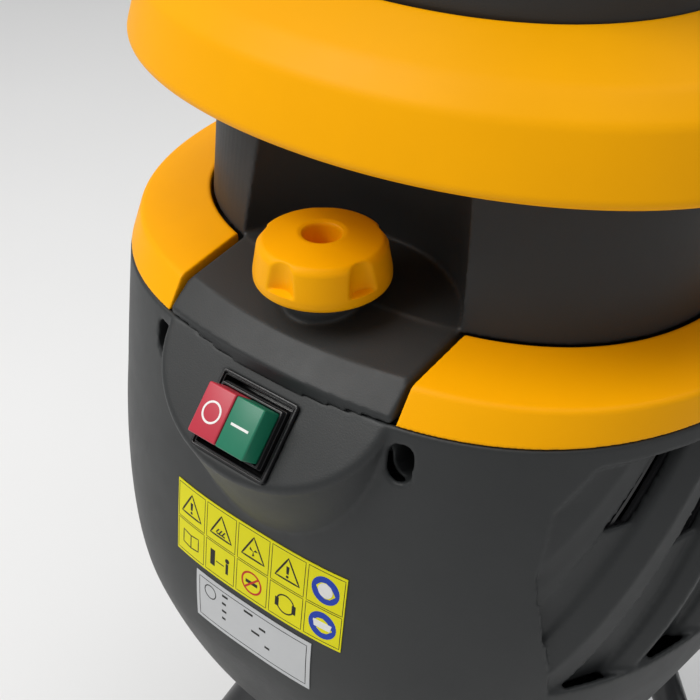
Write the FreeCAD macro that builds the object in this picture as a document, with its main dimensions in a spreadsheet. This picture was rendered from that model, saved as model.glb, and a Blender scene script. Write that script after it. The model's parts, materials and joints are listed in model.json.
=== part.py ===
import FreeCAD, Part
import math
import os
import Sketcher
from FreeCAD import Placement, Rotation, Vector

# Electric garden shredder: a motor housing on a tubular stand, a hinged feed hopper
# clamped down by a threaded knob, a push-button switch and a belt-driven blade disc.
#
# Working frame of every shape: X to the right, Y to the rear, Z up, with Y = 0 and
# Z = 0 on the front edge of the seam between housing and hopper. ROW moves that frame
# to the part's own frame, whose origin is on the ground under the middle of the stand.

doc = FreeCAD.newDocument("garden_shredder")

DIMENSIONS = {
    # stand and overall places
    "seam_height": 560, "stand_middle": 158, "wall": 3, "slack": 0.3,
    # housing plan outline at the seam, and the superellipse power of its corners
    "seam_half_width": 184, "seam_front": -5.5, "seam_rear": 351,
    "plan_middle": 201, "plan_power": 2.64,
    # housing bulge and base
    "belly_half_width": 194.5, "belly_front": -22, "belly_depth": 115,
    "base_half_width": 138, "base_front": 22, "base_rear": 322, "housing_depth": 300,
    # tilted switch panel
    "panel_tilt": 48.1, "panel_y": -20.1, "panel_z": -21.9,
    "panel_half_width": 67.3, "panel_drop": 37.2, "boss_depth": 129,
    # switch
    "bezel_width": 45.9, "bezel_height": 38.6, "bezel_lip": 1.7, "bezel_rim": 2.4,
    "well_depth": 14, "button_width": 16.9, "button_height": 24.6,
    "button_proud": 15.5, "pedestal_proud": 4.5,
    # screw wells below the shoulders
    "well_x": 73.2, "well_z": -17.6, "well_radius": 6, "well_length": 20,
    # shoulders, tongue and neck
    "shoulder_edge": 15.7, "shoulder_top": 22, "shoulder_setback": 11.3,
    "tongue_half_width": 67.2, "tongue_bevel_y": 14, "tongue_gap": 2,
    "neck_half_width": 144, "neck_front": 44, "neck_rear": 286, "neck_middle": 165,
    "neck_power": 2.47, "neck_lean": 0.21, "neck_top": 118,
    "alcove_radius": 73, "alcove_y": 21,
    # collar and chute of the hopper
    "collar_bottom": 105, "collar_half_width": 182, "collar_front": 6.8,
    "collar_rear": 303, "collar_middle": 137, "collar_power": 2.05,
    "chute_half_width": 126, "chute_top": 396, "mouth_half_width": 166,
    # clamp knob
    "knob_y": 35.4, "knob_base": 31.2, "knob_radius": 32, "knob_height": 20.5,
    "knob_crown": 3.3, "knob_bore": 8.8, "knob_ledge": 5.2, "knob_turn": -50.4,
    "spindle_radius": 5, "spindle_clearance": 1.3, "insert_radius": 10, "spindle_tip": 8,
    # blade drive
    "bowl_radius": 118, "bowl_floor": 42, "disc_radius": 112, "disc_plate": 4,
    "disc_height": 26, "shaft_radius": 7.5, "bearing_radius": 17.5, "bearing_width": 11,
    "running_gap": 0.05, "driven_pulley_radius": 42, "motor_pulley_radius": 15,
    "pulley_width": 16, "belt_thick": 3, "belt_plane": -106.5,
    # motor
    "motor_y": 95, "motor_radius": 46, "stator_bore": 27, "armature_radius": 26.4,
    "motor_shaft_radius": 5, "motor_bearing_radius": 11, "motor_bearing_width": 7,
    # stand
    "tube_radius": 12.5, "tube_bore": 11, "wheel_radius": 75, "wheel_width": 32,
    "hub_radius": 56, "axle_radius": 5, "axle_y": 303, "track": 374,
    "foot_y": -47, "foot_radius": 14, "foot_height": 15, "leg_x": 80, "front_leg_y": 75, "rear_leg_y": 280,
    # hinge of the hopper
    "hinge_y": 322, "hinge_z": 30, "hinge_pin_radius": 4,
}

sheet = doc.addObject("Spreadsheet::Sheet", "Sizes")
for row, (alias, number) in enumerate(DIMENSIONS.items(), start=1):
    sheet.set(f"A{row}", alias)
    sheet.set(f"B{row}", str(number))
    sheet.setAlias(f"B{row}", alias)
doc.recompute()


class Size:
    """A length that keeps its spreadsheet expression beside its value."""

    def __init__(self, text, value):
        self.text = text
        self.value = value

    def __float__(self):
        return float(self.value)

    def __add__(self, other):
        return Size(f"({self.text} + {words(other)})", self.value + float(other))

    def __sub__(self, other):
        return Size(f"({self.text} - ({words(other)}))", self.value - float(other))

    def __mul__(self, factor):
        return Size(f"({self.text} * {factor})", self.value * factor)

    def __neg__(self):
        return Size(f"(-1 * {self.text})", -self.value)


def words(length):
    """The expression text of a Size or of a plain number."""
    return length.text if isinstance(length, Size) else repr(float(length))


class SizeSheet:
    def __getattr__(self, alias):
        return Size(f"Sizes.{alias}", float(sheet.get(alias)))


S = SizeSheet()
ROW = Placement(Vector(0, -float(S.stand_middle), float(S.seam_height)), Rotation())
UP = Vector(0, 0, 1)
RIGHT = Vector(1, 0, 0)
REAR = Vector(0, 1, 0)
NODES = []


def node(obj, label):
    """Register a finished sub-part under its own label, in the part's own frame."""
    obj.Label = label
    obj.Placement = ROW.multiply(obj.Placement)
    NODES.append(obj)
    return obj


def bind(obj, **sizes):
    """Tie properties of obj to lengths from the sheet."""
    for name, length in sizes.items():
        obj.setExpression(name, words(length))
    return obj


def vector(x, y, z):
    """A Vector from numbers or Sizes."""
    return Vector(float(x), float(y), float(z))


def cylinder(name, radius, height, base, direction=UP):
    """A cylinder of the given height standing on base along direction."""
    obj = doc.addObject("Part::Cylinder", name)
    bind(obj, Radius=radius, Height=height)
    obj.Placement = Placement(vector(*base), Rotation(UP, direction))
    return obj


def box(name, size, corner, turn=None):
    """A block with its lowest corner at corner, then turned by a placement."""
    obj = doc.addObject("Part::Box", name)
    bind(obj, Length=size[0], Width=size[1], Height=size[2])
    obj.Placement = Placement(vector(*corner), Rotation())
    if turn is not None:
        obj.Placement = turn.multiply(obj.Placement)
    return obj


def fuse(name, *shapes):
    """One solid from shapes that meet."""
    obj = doc.addObject("Part::MultiFuse", name)
    obj.Shapes = list(shapes)
    return obj


def cut(name, base, tool):
    """base with tool taken away."""
    obj = doc.addObject("Part::Cut", name)
    obj.Base = base
    obj.Tool = tool
    return obj


def ring(name, outer, inner, height, base, direction=UP):
    """A round bush: a cylinder with a concentric bore."""
    return cut(name, cylinder(name + "_outer", outer, height, base, direction),
               cylinder(name + "_inner", inner, height, base, direction))


def group(name, shapes):
    """Separate solids of one sub-part, kept apart."""
    obj = doc.addObject("Part::Compound", name)
    obj.Links = shapes
    return obj


def feature(name, shape):
    """A document object that holds a shape worked out here."""
    obj = doc.addObject("Part::Feature", name)
    obj.Shape = shape
    return obj


# ---------------------------------------------------------------- sketched bodies

def plane_of(body, role):
    """One of the origin planes or axes of a body."""
    return next(f for f in body.Origin.OriginFeatures if f.Role == role)


def sketch_polygon(body, name, role, points):
    """A closed polygon whose corners are each fixed by two dimensions from the origin."""
    sketch = body.newObject("Sketcher::SketchObject", name)
    sketch.AttachmentSupport = [(plane_of(body, role), "")]
    sketch.MapMode = "FlatFace"
    flat = [Vector(float(x), float(y), 0) for x, y in points]
    count = len(flat)
    for i in range(count):
        sketch.addGeometry(Part.LineSegment(flat[i], flat[(i + 1) % count]), False)
    for i in range(count):
        sketch.addConstraint(Sketcher.Constraint("Coincident", i, 2, (i + 1) % count, 1))
    for i, (x, y) in enumerate(points):
        for kind, axis, length in (("DistanceX", -2, x), ("DistanceY", -1, y)):
            if float(length) == 0:
                sketch.addConstraint(Sketcher.Constraint("PointOnObject", i, 1, axis))
                continue
            place = sketch.addConstraint(Sketcher.Constraint(kind, -1, 1, i, 1, float(length)))
            if isinstance(length, Size):
                sketch.renameConstraint(place, f"{kind}_{i}")
                sketch.setExpression(f"Constraints.{kind}_{i}", length.text)
    return sketch


def turned(label, profile, origin, direction=UP):
    """A body of revolution about its own Z axis, from a half profile of (radius, height)."""
    body = doc.addObject("PartDesign::Body", label + "_body")
    sketch = sketch_polygon(body, label + "_profile", "XZ_Plane", profile)
    turn = body.newObject("PartDesign::Revolution", label + "_turn")
    turn.Profile = sketch
    turn.ReferenceAxis = (sketch, ["V_Axis"])
    turn.Angle = 360
    body.Placement = Placement(vector(*origin), Rotation(UP, direction))
    return body


# ---------------------------------------------------------------- free-form shells

def plan_wire(z, half_width, front, rear, middle, power, count=24):
    """A level closed curve: a superellipse whose front and rear halves differ in depth."""
    points = []
    for step in range(count):
        angle = math.pi / 2 + 2 * math.pi * step / count
        across = math.cos(angle)
        along = math.sin(angle)
        reach = rear - middle if along > 0 else middle - front
        points.append(Vector(
            half_width * math.copysign(abs(across) ** (2 / power), across),
            middle + reach * math.copysign(abs(along) ** (2 / power), along), z))
    curve = Part.BSplineCurve()
    curve.interpolate(Points=points, PeriodicFlag=True)
    return Part.Wire(curve.toShape())


def loft(sections, middle, power, inset=0.0, ruled=True):
    """A solid through level sections of (z, half width, front y, rear y)."""
    wires = [plan_wire(z, half - inset, front + inset, rear - inset, middle, power)
             for z, half, front, rear in sections]
    return Part.makeLoft(wires, True, ruled)


def slab(low, high):
    """A block between two corners."""
    size = Vector(*high).sub(Vector(*low))
    return Part.makeBox(size.x, size.y, size.z, Vector(*low))


def mirrored(shape):
    """The shape on the other side of the mid-plane."""
    return shape.mirror(Vector(0, 0, 0), RIGHT)


def side_prism(points, reach=300.0):
    """A (y, z) outline carried along X from the mid-plane to the right."""
    face = Part.Face(Part.makePolygon([Vector(0, y, z) for y, z in points + points[:1]]))
    return face.extrude(Vector(reach, 0, 0))


MIDDLE = float(S.plan_middle)
POWER = float(S.plan_power)
WALL = float(S.wall)
SLACK = float(S.slack)
DEPTH = float(S.housing_depth)

# Sections of the housing from the seam down to its base.
HOUSING = [
    (0, float(S.seam_half_width), float(S.seam_front), float(S.seam_rear)),
    (-60, 191, -13.8, 355),
    (-float(S.belly_depth), float(S.belly_half_width), float(S.belly_front), 358),
    (-160, 188, -27, 355),
    (-190, 178, -26.5, 350),
    (-245, 159, -8, 340),
    (-DEPTH, float(S.base_half_width), float(S.base_front), float(S.base_rear)),
]


def housing_form(inset, above=0.0, below=0.0):
    """The housing's outer form moved in by inset, carried past its ends for cutting."""
    body = loft(HOUSING, MIDDLE, POWER, inset, ruled=False)
    if above:
        body = body.fuse(loft([HOUSING[0], (above,) + HOUSING[0][1:]], MIDDLE, POWER, inset))
    if below:
        body = body.fuse(loft([(-DEPTH - below,) + HOUSING[-1][1:], HOUSING[-1]], MIDDLE, POWER, inset))
    return body


PANEL = Placement(vector(0, S.panel_y, S.panel_z), Rotation(RIGHT, float(S.panel_tilt)))
PANEL_NORMAL = PANEL.Rotation.multVec(UP)


def half_ellipse(half_width, drop, fall, y, inset=0.0):
    """A closed D: a half ellipse below the seam, leaning forward by drop, down by fall."""
    left = Vector(-half_width + inset, y, 0)
    right = Vector(half_width - inset, y, 0)
    lowest = Vector(0, y - drop, -fall)
    along = lowest.sub(Vector(0, y, 0))
    span = along.Length - inset
    along.normalize()
    points = []
    steps = 16
    for step in range(steps + 1):
        angle = math.pi * step / steps
        points.append(Vector(0, y, 0).add(Vector((half_width - inset) * -math.cos(angle), 0, 0))
                      .add(along * (span * math.sin(angle))))
    curve = Part.BSplineCurve()
    curve.interpolate(Points=points)
    return Part.Wire([curve.toShape(), Part.makeLine(right, left)])


def panel_boss(inset):
    """The D-shaped boss that carries the switch panel and fades back into the housing."""
    half = float(S.panel_half_width)
    drop = float(S.panel_drop)
    seam_y = float(S.panel_y) - float(S.panel_z) / math.tan(math.radians(float(S.panel_tilt)))
    fall = drop * math.tan(math.radians(float(S.panel_tilt)))
    front = half_ellipse(half, drop, fall, seam_y, inset)
    rear = half_ellipse(half - 1, 0, float(S.boss_depth), 3 + inset, inset)
    boss = Part.makeLoft([front, rear], True, True)
    boss.translate(PANEL_NORMAL * -inset)
    return boss, Part.Face(front)


def stadium(x, z, radius, length, y_low, y_high):
    """An upright slot-shaped bar along Y."""
    straight = length / 2 - radius
    parts = [Part.makeCylinder(radius, y_high - y_low, Vector(x, y_low, z + side * straight), REAR)
             for side in (-1, 1)]
    middle = slab((x - radius, y_low, z - straight), (x + radius, y_high, z + straight))
    return middle.multiFuse(parts).removeSplitter()


INLET = (120, -235)
RESET = (190, -235)
RESET_RADIUS = 5.8

# Cooling vents: slanted ribs and slots in a shallow field on each side of the housing.
SLOPE = 0.66
VENT_PITCH = 45
VENT_COUNT = 5
SLOT_DEPTH = 14
FIELD_DEPTH = 2.0
VENT_LOW = -140
FIELD = [(44, -10), (29, -31), (22, -67), (26, VENT_LOW), (268, VENT_LOW), (300, -67), (306, -10)]


def slot_outline(first, width):
    """A slanted slot, given where it would start at the height of the seam."""
    low, high = VENT_LOW + 12, -12
    return [(first + SLOPE * high, high), (first + width + SLOPE * high, high),
            (first + width + SLOPE * low, low), (first + SLOPE * low, low)]


def build_vent():
    """The right vent field: a thick panel between two insets, pierced by the slots."""
    slots = [side_prism(slot_outline(73, 16))]
    for index in range(1, VENT_COUNT):
        slots.append(side_prism(slot_outline(65 + VENT_PITCH * index, 25)))
    panel = side_prism(FIELD).cut(housing_form(SLOT_DEPTH))
    return panel.cut(slots[0].multiFuse(slots[1:])).common(housing_form(FIELD_DEPTH))


def build_housing():
    """The moulded casing with its panel boss, screw wells, openings and both vent fields."""
    outer = housing_form(0)
    boss, panel_face = panel_boss(0)
    trim = panel_face.extrude(PANEL_NORMAL * 60)
    outer = outer.fuse(boss).cut(trim)
    core = housing_form(WALL, above=5, below=5).fuse(panel_boss(WALL)[0])
    shell = outer.cut(core)
    wells = []
    for side in (-1, 1):
        x = side * float(S.well_x)
        z = float(S.well_z)
        sleeve = stadium(x, z, float(S.well_radius) + 2, float(S.well_length) + 4, -20, 26)
        shell = shell.fuse(sleeve.common(outer))
        wells.append(stadium(x, z, float(S.well_radius), float(S.well_length), -30, 23))
        wells.append(Part.makeCylinder(2.1, 20, Vector(x, 20, z), REAR))
    # the opening of the switch, and the inlet and reset openings on the left side
    opening = slab((-22.5, -18.85, -30), (22.5, 18.85, 20))
    opening.Placement = PANEL.multiply(opening.Placement)
    inlet = slab((-220, INLET[0] - 26, INLET[1] - 20), (-120, INLET[0] + 26, INLET[1] + 20))
    reset = Part.makeCylinder(RESET_RADIUS + 2.4, 120, Vector(-220, *RESET), RIGHT)
    shell = shell.cut(wells[0].multiFuse(wells[1:] + [opening, inlet, reset]))
    field = side_prism(FIELD)
    vent = build_vent()
    shell = shell.cut(field.fuse(mirrored(field)))
    return shell.multiFuse([vent, mirrored(vent)])


node(feature("housing_shape", build_housing()), "motor_housing")


def rim_of(shape):
    """The largest solid of a shape, without loose slivers."""
    return max(shape.Solids, key=lambda solid: solid.Volume)


# Vent grilles stand behind the slots: dark plates pierced by level bars.
def build_grille():
    """The plate behind the right vent field, pierced by level openings."""
    plate = housing_form(SLOT_DEPTH + SLACK).cut(housing_form(SLOT_DEPTH + SLACK + 2.5))
    plate = plate.common(side_prism([(24, -12), (24, VENT_LOW), (290, VENT_LOW), (290, -12)]))
    openings = [side_prism([(40, z), (40, z + 5), (278, z + 5), (278, z)])
                for z in range(VENT_LOW + 8, -18, 10)]
    return plate.cut(openings[0].multiFuse(openings[1:]))


grille = build_grille()
node(feature("right_grille_shape", grille), "right_vent_grille")
node(feature("left_grille_shape", mirrored(grille)), "left_vent_grille")

# ---------------------------------------------------------------- shoulders

EDGE = float(S.shoulder_edge)
TOP = float(S.shoulder_top)
SETBACK = float(S.shoulder_setback)
NECK_MIDDLE = float(S.neck_middle)
NECK_POWER = float(S.neck_power)
TONGUE = float(S.tongue_half_width)
SEAM = HOUSING[0]


def neck_sections(low, high, inset=0.0):
    """Two level sections of the hopper's neck, whose front leans back as it rises."""
    lean = float(S.neck_lean)
    front = float(S.neck_front)
    return [(z, float(S.neck_half_width) - inset, front + lean * (z - TOP) + inset,
             float(S.neck_rear) - inset) for z in (low, high)]


def shoulder_form(inset):
    """Band, bevel and gently rising top of the shoulders, as one solid."""
    neck = neck_sections(TOP, TOP + 1)[0]
    wires = [
        plan_wire(-inset, SEAM[1] - inset, SEAM[2] + inset, SEAM[3] - inset, MIDDLE, POWER),
        plan_wire(EDGE - inset, SEAM[1] - inset, SEAM[2] + SETBACK + inset, SEAM[3] - 6 - inset,
                  MIDDLE, POWER),
        plan_wire(TOP - inset, neck[1] - 2, neck[2] + 2, neck[3] - 2, NECK_MIDDLE, NECK_POWER)]
    return Part.makeLoft(wires, True, True)


def shoulder_region(inset):
    """Where the right shoulder is: the right half without the tongue's and the hinge's gaps."""
    gap = TONGUE + float(S.tongue_gap) + inset
    outline = [(gap, -60), (260, -60), (260, 420), (62 + inset, 420), (62 + inset, 240),
               (100, 200), (100, 120), (gap, 90)]
    corners = [Vector(x, y, -5) for x, y in outline]
    return Part.Face(Part.makePolygon(corners + corners[:1])).extrude(Vector(0, 0, 60))


def build_shoulder():
    """The right shoulder: a thin cover with a thicker lip round the neck."""
    rim = neck_sections(TOP, TOP)[0]
    hole = loft([(-10,) + rim[1:], (40,) + rim[1:]], NECK_MIDDLE, NECK_POWER, -1.0)
    lip = loft([(-10,) + rim[1:], (40,) + rim[1:]], NECK_MIDDLE, NECK_POWER, -4.0)
    solid = shoulder_form(0).common(shoulder_region(0)).cut(hole)
    hollow = shoulder_form(WALL).common(shoulder_region(WALL)).cut(lip)
    hollow.translate(Vector(0, 0, -0.01))
    return rim_of(solid.cut(hollow))


shoulder = build_shoulder()
node(feature("right_shoulder_shape", shoulder), "right_shoulder")
node(feature("left_shoulder_shape", mirrored(shoulder)), "left_shoulder")

# ---------------------------------------------------------------- hopper

KNOB_Y = float(S.knob_y)
ALCOVE = float(S.alcove_radius)
ALCOVE_Y = float(S.alcove_y)
NECK_TOP = float(S.neck_top)
COLLAR_LOW = float(S.collar_bottom)
SKIRT = 7


def tongue_outline(z, corner_y, middle_y, half_width):
    """The tongue's plan at one height: a bowed front, straight sides and back."""
    left = Vector(-half_width, corner_y, z)
    right = Vector(half_width, corner_y, z)
    back_right = Vector(half_width, 96, z)
    back_left = Vector(-half_width, 96, z)
    front = Part.Arc(left, Vector(0, middle_y, z), right).toShape()
    return Part.Wire([front, Part.makeLine(right, back_right),
                      Part.makeLine(back_right, back_left), Part.makeLine(back_left, left)])


def tongue_form():
    """The flap in front of the neck: a bevelled, bowed front and a top that rises to the alcove."""
    bevel = float(S.tongue_bevel_y) / EDGE
    tall = 30
    low = tongue_outline(SLACK, 0.7, SEAM[2], TONGUE)
    high = tongue_outline(SLACK + tall, 0.7 + bevel * tall, SEAM[2] + bevel * tall, TONGUE - 2.5)
    rise = (TOP - EDGE) / (52 - float(S.tongue_bevel_y))
    start = EDGE - rise * (float(S.tongue_bevel_y) + 20)
    above = [(-20, start), (52, TOP), (120, TOP), (120, 60), (-20, 60)]
    face = Part.Face(Part.makePolygon([Vector(-100, y, z) for y, z in above + above[:1]]))
    return Part.makeLoft([low, high], True, True).cut(face.extrude(Vector(200, 0, 0)))


def build_hopper_base():
    """The neck with its knob alcove, tongue, spindle seat and hinge knuckles."""
    neck = loft(neck_sections(TOP - 1.5, NECK_TOP), NECK_MIDDLE, NECK_POWER)
    skirt = loft([(SLACK,) + neck_sections(TOP, TOP)[0][1:], (TOP,) + neck_sections(TOP, TOP)[0][1:]],
                 NECK_MIDDLE, NECK_POWER, SKIRT)
    neck = neck.fuse(skirt)
    alcove = Part.makeCylinder(ALCOVE, COLLAR_LOW - TOP, Vector(0, ALCOVE_Y, TOP), UP)
    solid = neck.cut(alcove).fuse(tongue_form())
    cavity = loft(neck_sections(-5, NECK_TOP + 5, SKIRT + WALL), NECK_MIDDLE, NECK_POWER)
    cavity = cavity.fuse(loft(neck_sections(TOP + 1.5, NECK_TOP + 5, WALL), NECK_MIDDLE, NECK_POWER))
    keep = Part.makeCylinder(ALCOVE + WALL, COLLAR_LOW + 6, Vector(0, ALCOVE_Y, -3), UP)
    solid = solid.cut(cavity.cut(keep))
    under = slab((-TONGUE + WALL, 12, -1), (TONGUE - WALL, 50, 11))
    under = under.fuse(Part.makeCylinder(ALCOVE - 1, TOP - WALL + 1, Vector(0, ALCOVE_Y, -1), UP)
                       .common(slab((-TONGUE + 5, 50, -1), (TONGUE - 5, 100, 40))))
    spindle_boss = Part.makeCylinder(11, 40, Vector(0, KNOB_Y, -5), UP)
    seat = Part.makeCylinder(18, TOP + 1 - 16, Vector(0, KNOB_Y, 16), UP)
    solid = solid.cut(under.cut(spindle_boss)).fuse(seat)
    bore = Part.makeCylinder(float(S.spindle_radius) + 0.6, 60, Vector(0, KNOB_Y, -10), UP)
    solid = solid.cut(bore)
    # two hinge knuckles at the back of the neck
    for side in (-1, 1):
        x = side * 36
        middle = float(S.hinge_z)
        arm = slab((x - 6, float(S.neck_rear) - 6, middle - 7.5), (x + 6, float(S.hinge_y), middle + 7.5))
        eye = Part.makeCylinder(7.5, 12, Vector(x - 6, float(S.hinge_y), float(S.hinge_z)), RIGHT)
        solid = solid.fuse(arm.fuse(eye).cut(cavity))
    pin = Part.makeCylinder(float(S.hinge_pin_radius) + 0.08, 120,
                            Vector(-60, float(S.hinge_y), float(S.hinge_z)), RIGHT)
    return rim_of(solid.cut(pin))


node(feature("hopper_base_shape", build_hopper_base()), "hopper_base")

COLLAR_MIDDLE = float(S.collar_middle)
COLLAR_POWER = float(S.collar_power)
COLLAR = [
    (COLLAR_LOW, float(S.collar_half_width) - 2.5, float(S.collar_front) + 2.5,
     float(S.collar_rear) - 2.5),
    (COLLAR_LOW + 3.5, float(S.collar_half_width), float(S.collar_front), float(S.collar_rear)),
    (COLLAR_LOW + 30, float(S.collar_half_width) - 9, float(S.collar_front) + 9,
     float(S.collar_rear) - 8),
    (COLLAR_LOW + 40, float(S.collar_half_width) - 20, float(S.collar_front) + 18,
     float(S.collar_rear) - 16),
    (COLLAR_LOW + 54, float(S.chute_half_width) + 3, 47, 281),
]
CHUTE = [
    (NECK_TOP + 0.3, float(S.neck_half_width) - 1, 66, float(S.neck_rear) - 1),
    (COLLAR_LOW + 56, float(S.chute_half_width), 50, 278),
    (COLLAR_LOW + 200, float(S.chute_half_width) + 1, 48, 280),
    (float(S.chute_top) - 30, float(S.mouth_half_width) - 14, 20, 306),
    (float(S.chute_top), float(S.mouth_half_width), 6, 318),
]


def build_collar():
    """The deep-skirted ring on top of the neck."""
    outer = loft(COLLAR, COLLAR_MIDDLE, COLLAR_POWER)
    lowered = [(section[0] - 2,) + section[1:] for section in COLLAR[1:]]
    inner = loft(lowered, COLLAR_MIDDLE, COLLAR_POWER, WALL)
    plate = slab((-260, -60, COLLAR_LOW - 1), (260, 420, COLLAR_LOW + WALL))
    shell = outer.cut(inner.cut(plate))
    neck = loft(neck_sections(90, NECK_TOP + 3, -0.4), NECK_MIDDLE, NECK_POWER)
    chute = loft(CHUTE[:3], NECK_MIDDLE, NECK_POWER, -0.4)
    return rim_of(shell.cut(neck).cut(chute))


def build_chute():
    """The open funnel that stands on the neck inside the collar."""
    outer = loft(CHUTE, NECK_MIDDLE, NECK_POWER)
    inner_sections = [(CHUTE[0][0] - 1,) + CHUTE[0][1:]] + CHUTE[1:-1]
    inner_sections.append((CHUTE[-1][0] + 1,) + CHUTE[-1][1:])
    return outer.cut(loft(inner_sections, NECK_MIDDLE, NECK_POWER, WALL))


def build_mouth_rim():
    """The bead round the mouth of the chute."""
    low = float(S.chute_top) - 8
    half = float(S.mouth_half_width)
    sections = [(low, half + 3, 3, 321), (low + 16, half + 5, 1, 323)]
    outer = loft(sections, NECK_MIDDLE, NECK_POWER)
    chute = loft(CHUTE, NECK_MIDDLE, NECK_POWER, -0.2)
    hole = loft([(low - 1,) + CHUTE[-1][1:], (low + 20,) + CHUTE[-1][1:]], NECK_MIDDLE, NECK_POWER,
                WALL + 1)
    return rim_of(outer.cut(hole).cut(chute))


node(feature("collar_shape", build_collar()), "hopper_collar")
node(feature("chute_shape", build_chute()), "hopper_chute")
node(feature("mouth_rim_shape", build_mouth_rim()), "mouth_rim")

# ---------------------------------------------------------------- clamp knob and interlock

GRIP_COUNT = 5
GRIP_RADIUS = 9
GRIP_CENTRE = 36.2


def build_knob():
    """A round rim, a tapering grip with five finger hollows, and a blind hole in the crown."""
    radius = S.knob_radius
    height = S.knob_height
    crown = height + S.knob_crown
    body = turned("clamp_knob", [
        (S.spindle_radius, 0), (radius - 1.5, 0), (radius, 1.5), (radius, S.knob_ledge),
        (radius - 2.4, height - 1.8), (radius - 4.2, height), (S.knob_bore + 2, crown),
        (S.knob_bore, crown - 1.4), (S.knob_bore, 9), (S.spindle_radius, 9)],
        (0, S.knob_y, S.knob_base))
    circle = body.newObject("Sketcher::SketchObject", "grip_circle")
    circle.AttachmentSupport = [(plane_of(body, "XY_Plane"), "")]
    circle.MapMode = "FlatFace"
    circle.AttachmentOffset = Placement(vector(0, 0, crown), Rotation())
    recess = math.radians(float(S.knob_turn) + 180 / GRIP_COUNT)
    middle = Vector(GRIP_CENTRE * math.cos(recess), GRIP_CENTRE * math.sin(recess), 0)
    circle.addGeometry(Part.Circle(middle, UP, GRIP_RADIUS), False)
    hollow = body.newObject("PartDesign::Pocket", "grip_hollow")
    hollow.Profile = circle
    bind(hollow, Length=crown - S.knob_ledge)
    doc.recompute()
    pattern = body.newObject("PartDesign::PolarPattern", "grip_hollows")
    pattern.Originals = [hollow]
    pattern.Axis = (plane_of(body, "Z_Axis"), [""])
    pattern.Angle = 360
    pattern.Occurrences = GRIP_COUNT
    body.Tip = pattern
    return body


node(build_knob(), "clamp_knob")
node(cylinder("spindle_rod", S.spindle_radius, S.knob_base + S.spindle_tip + 9,
              (0, S.knob_y, -S.spindle_tip)), "clamp_spindle")
node(ring("washer", S.knob_bore + 8, S.spindle_radius + 0.3, 7.6,
          (0, S.knob_y, float(S.shoulder_top) + 1.3)), "knob_washer")
node(ring("insert", S.insert_radius, S.spindle_radius + S.spindle_clearance, 21.5,
          (0, S.knob_y, -21.8)), "thread_insert")
node(cylinder("plunger_pin", 2.5, 19.5, (0, S.knob_y, -27.8)), "interlock_plunger")
node(cut("safety_switch_case", box("safety_switch_box", (12, 22, 22), (-6, KNOB_Y - 14, -48)),
         cylinder("safety_switch_bore", 2.8, 10, (0, S.knob_y, -32))), "safety_switch")

# ---------------------------------------------------------------- switch

RIM = S.bezel_rim
INNER_WIDTH = S.bezel_width - RIM * 2
INNER_HEIGHT = S.bezel_height - RIM * 2


def panel_box(name, width, height, low, high, middle=0.0):
    """A box square to the switch panel, between two heights above it."""
    corner = (middle - float(width) / 2, -float(height) / 2, float(low))
    return box(name, (width, height, Size(words(high), float(high)) - low), corner, PANEL)


bezel_frame = fuse("bezel_frame",
                   panel_box("bezel_flange", S.bezel_width, S.bezel_height, 0.1, S.bezel_lip),
                   panel_box("bezel_sleeve", S.bezel_width - 1.3, S.bezel_height - 1.3,
                             -S.well_depth, 0.5))
bezel_hole = panel_box("bezel_hole", INNER_WIDTH, INNER_HEIGHT, -20, 10)
node(cut("bezel_shape", bezel_frame, bezel_hole), "switch_bezel")

switch_solid = fuse("switch_solid",
                    panel_box("switch_base", INNER_WIDTH - 0.4, INNER_HEIGHT - 0.4, -34, -8),
                    panel_box("switch_pedestal", S.button_width * 2 + 3.4, S.button_height + 3.4,
                              -9, S.pedestal_proud))
switch_cavity = panel_box("switch_cavity", S.button_width * 2 + 1.0, S.button_height + 0.6, -10.8, 10)
node(cut("switch_shape", switch_solid, switch_cavity), "switch_body")
for side, label in ((-1, "red_stop_button"), (1, "green_start_button")):
    block = panel_box(label + "_block", S.button_width, S.button_height, -6, S.button_proud,
                      side * (float(S.button_width) / 2 + 0.2))
    node(block, label)

inlet_shell = cut("inlet_shell",
                  box("inlet_blank", (33, 51.2, 39.2), (-158, INLET[0] - 25.6, INLET[1] - 19.6)),
                  box("inlet_cavity", (28, 38, 28), (-163, INLET[0] - 19, INLET[1] - 14)))
inlet_pins = [cylinder(f"inlet_pin_{i}", 2.4, 20, (-155, INLET[0] + offset, INLET[1]), RIGHT)
              for i, offset in enumerate((-9.5, 9.5))]
node(fuse("inlet_shape", inlet_shell, *inlet_pins), "power_inlet")
node(cylinder("reset_plug", RESET_RADIUS, 24, (-167, *RESET), RIGHT), "reset_button")
node(cut("breaker_shape", box("breaker_box", (26, 22, 26), (-142.6, RESET[0] - 11, RESET[1] - 13)),
         cylinder("breaker_socket", RESET_RADIUS + 0.4, 3.6, (-142.8, *RESET), RIGHT)),
     "overload_breaker")

# ---------------------------------------------------------------- labels

def label_skin(x_low, x_high, z_low, z_high):
    """A thin sticker that follows the front of the housing."""
    window = slab((x_low, -60, z_low), (x_high, 60, z_high))
    return housing_form(-0.5).common(window).cut(housing_form(-0.1))


node(feature("safety_label_shape", label_skin(-56.5, 56.5, -134, -89)), "safety_label")
node(feature("rating_label_shape", label_skin(-40, 40, -170, -138)), "rating_label")
screws = [fuse(f"well_screw_{i}",
               cylinder(f"well_screw_head_{i}", 4.2, 3.4, (side * float(S.well_x), 19.4, S.well_z), REAR),
               cylinder(f"well_screw_shank_{i}", 2, 16, (side * float(S.well_x), 22, S.well_z), REAR))
          for i, side in enumerate((-1, 1))]
node(group("well_screws", screws), "housing_screws")

# ---------------------------------------------------------------- blade chamber

SHAFT_Y = float(S.neck_middle)
FLOOR = -float(S.bowl_floor)
DUCT = dict(half=50, front=217, rear=270)


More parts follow.
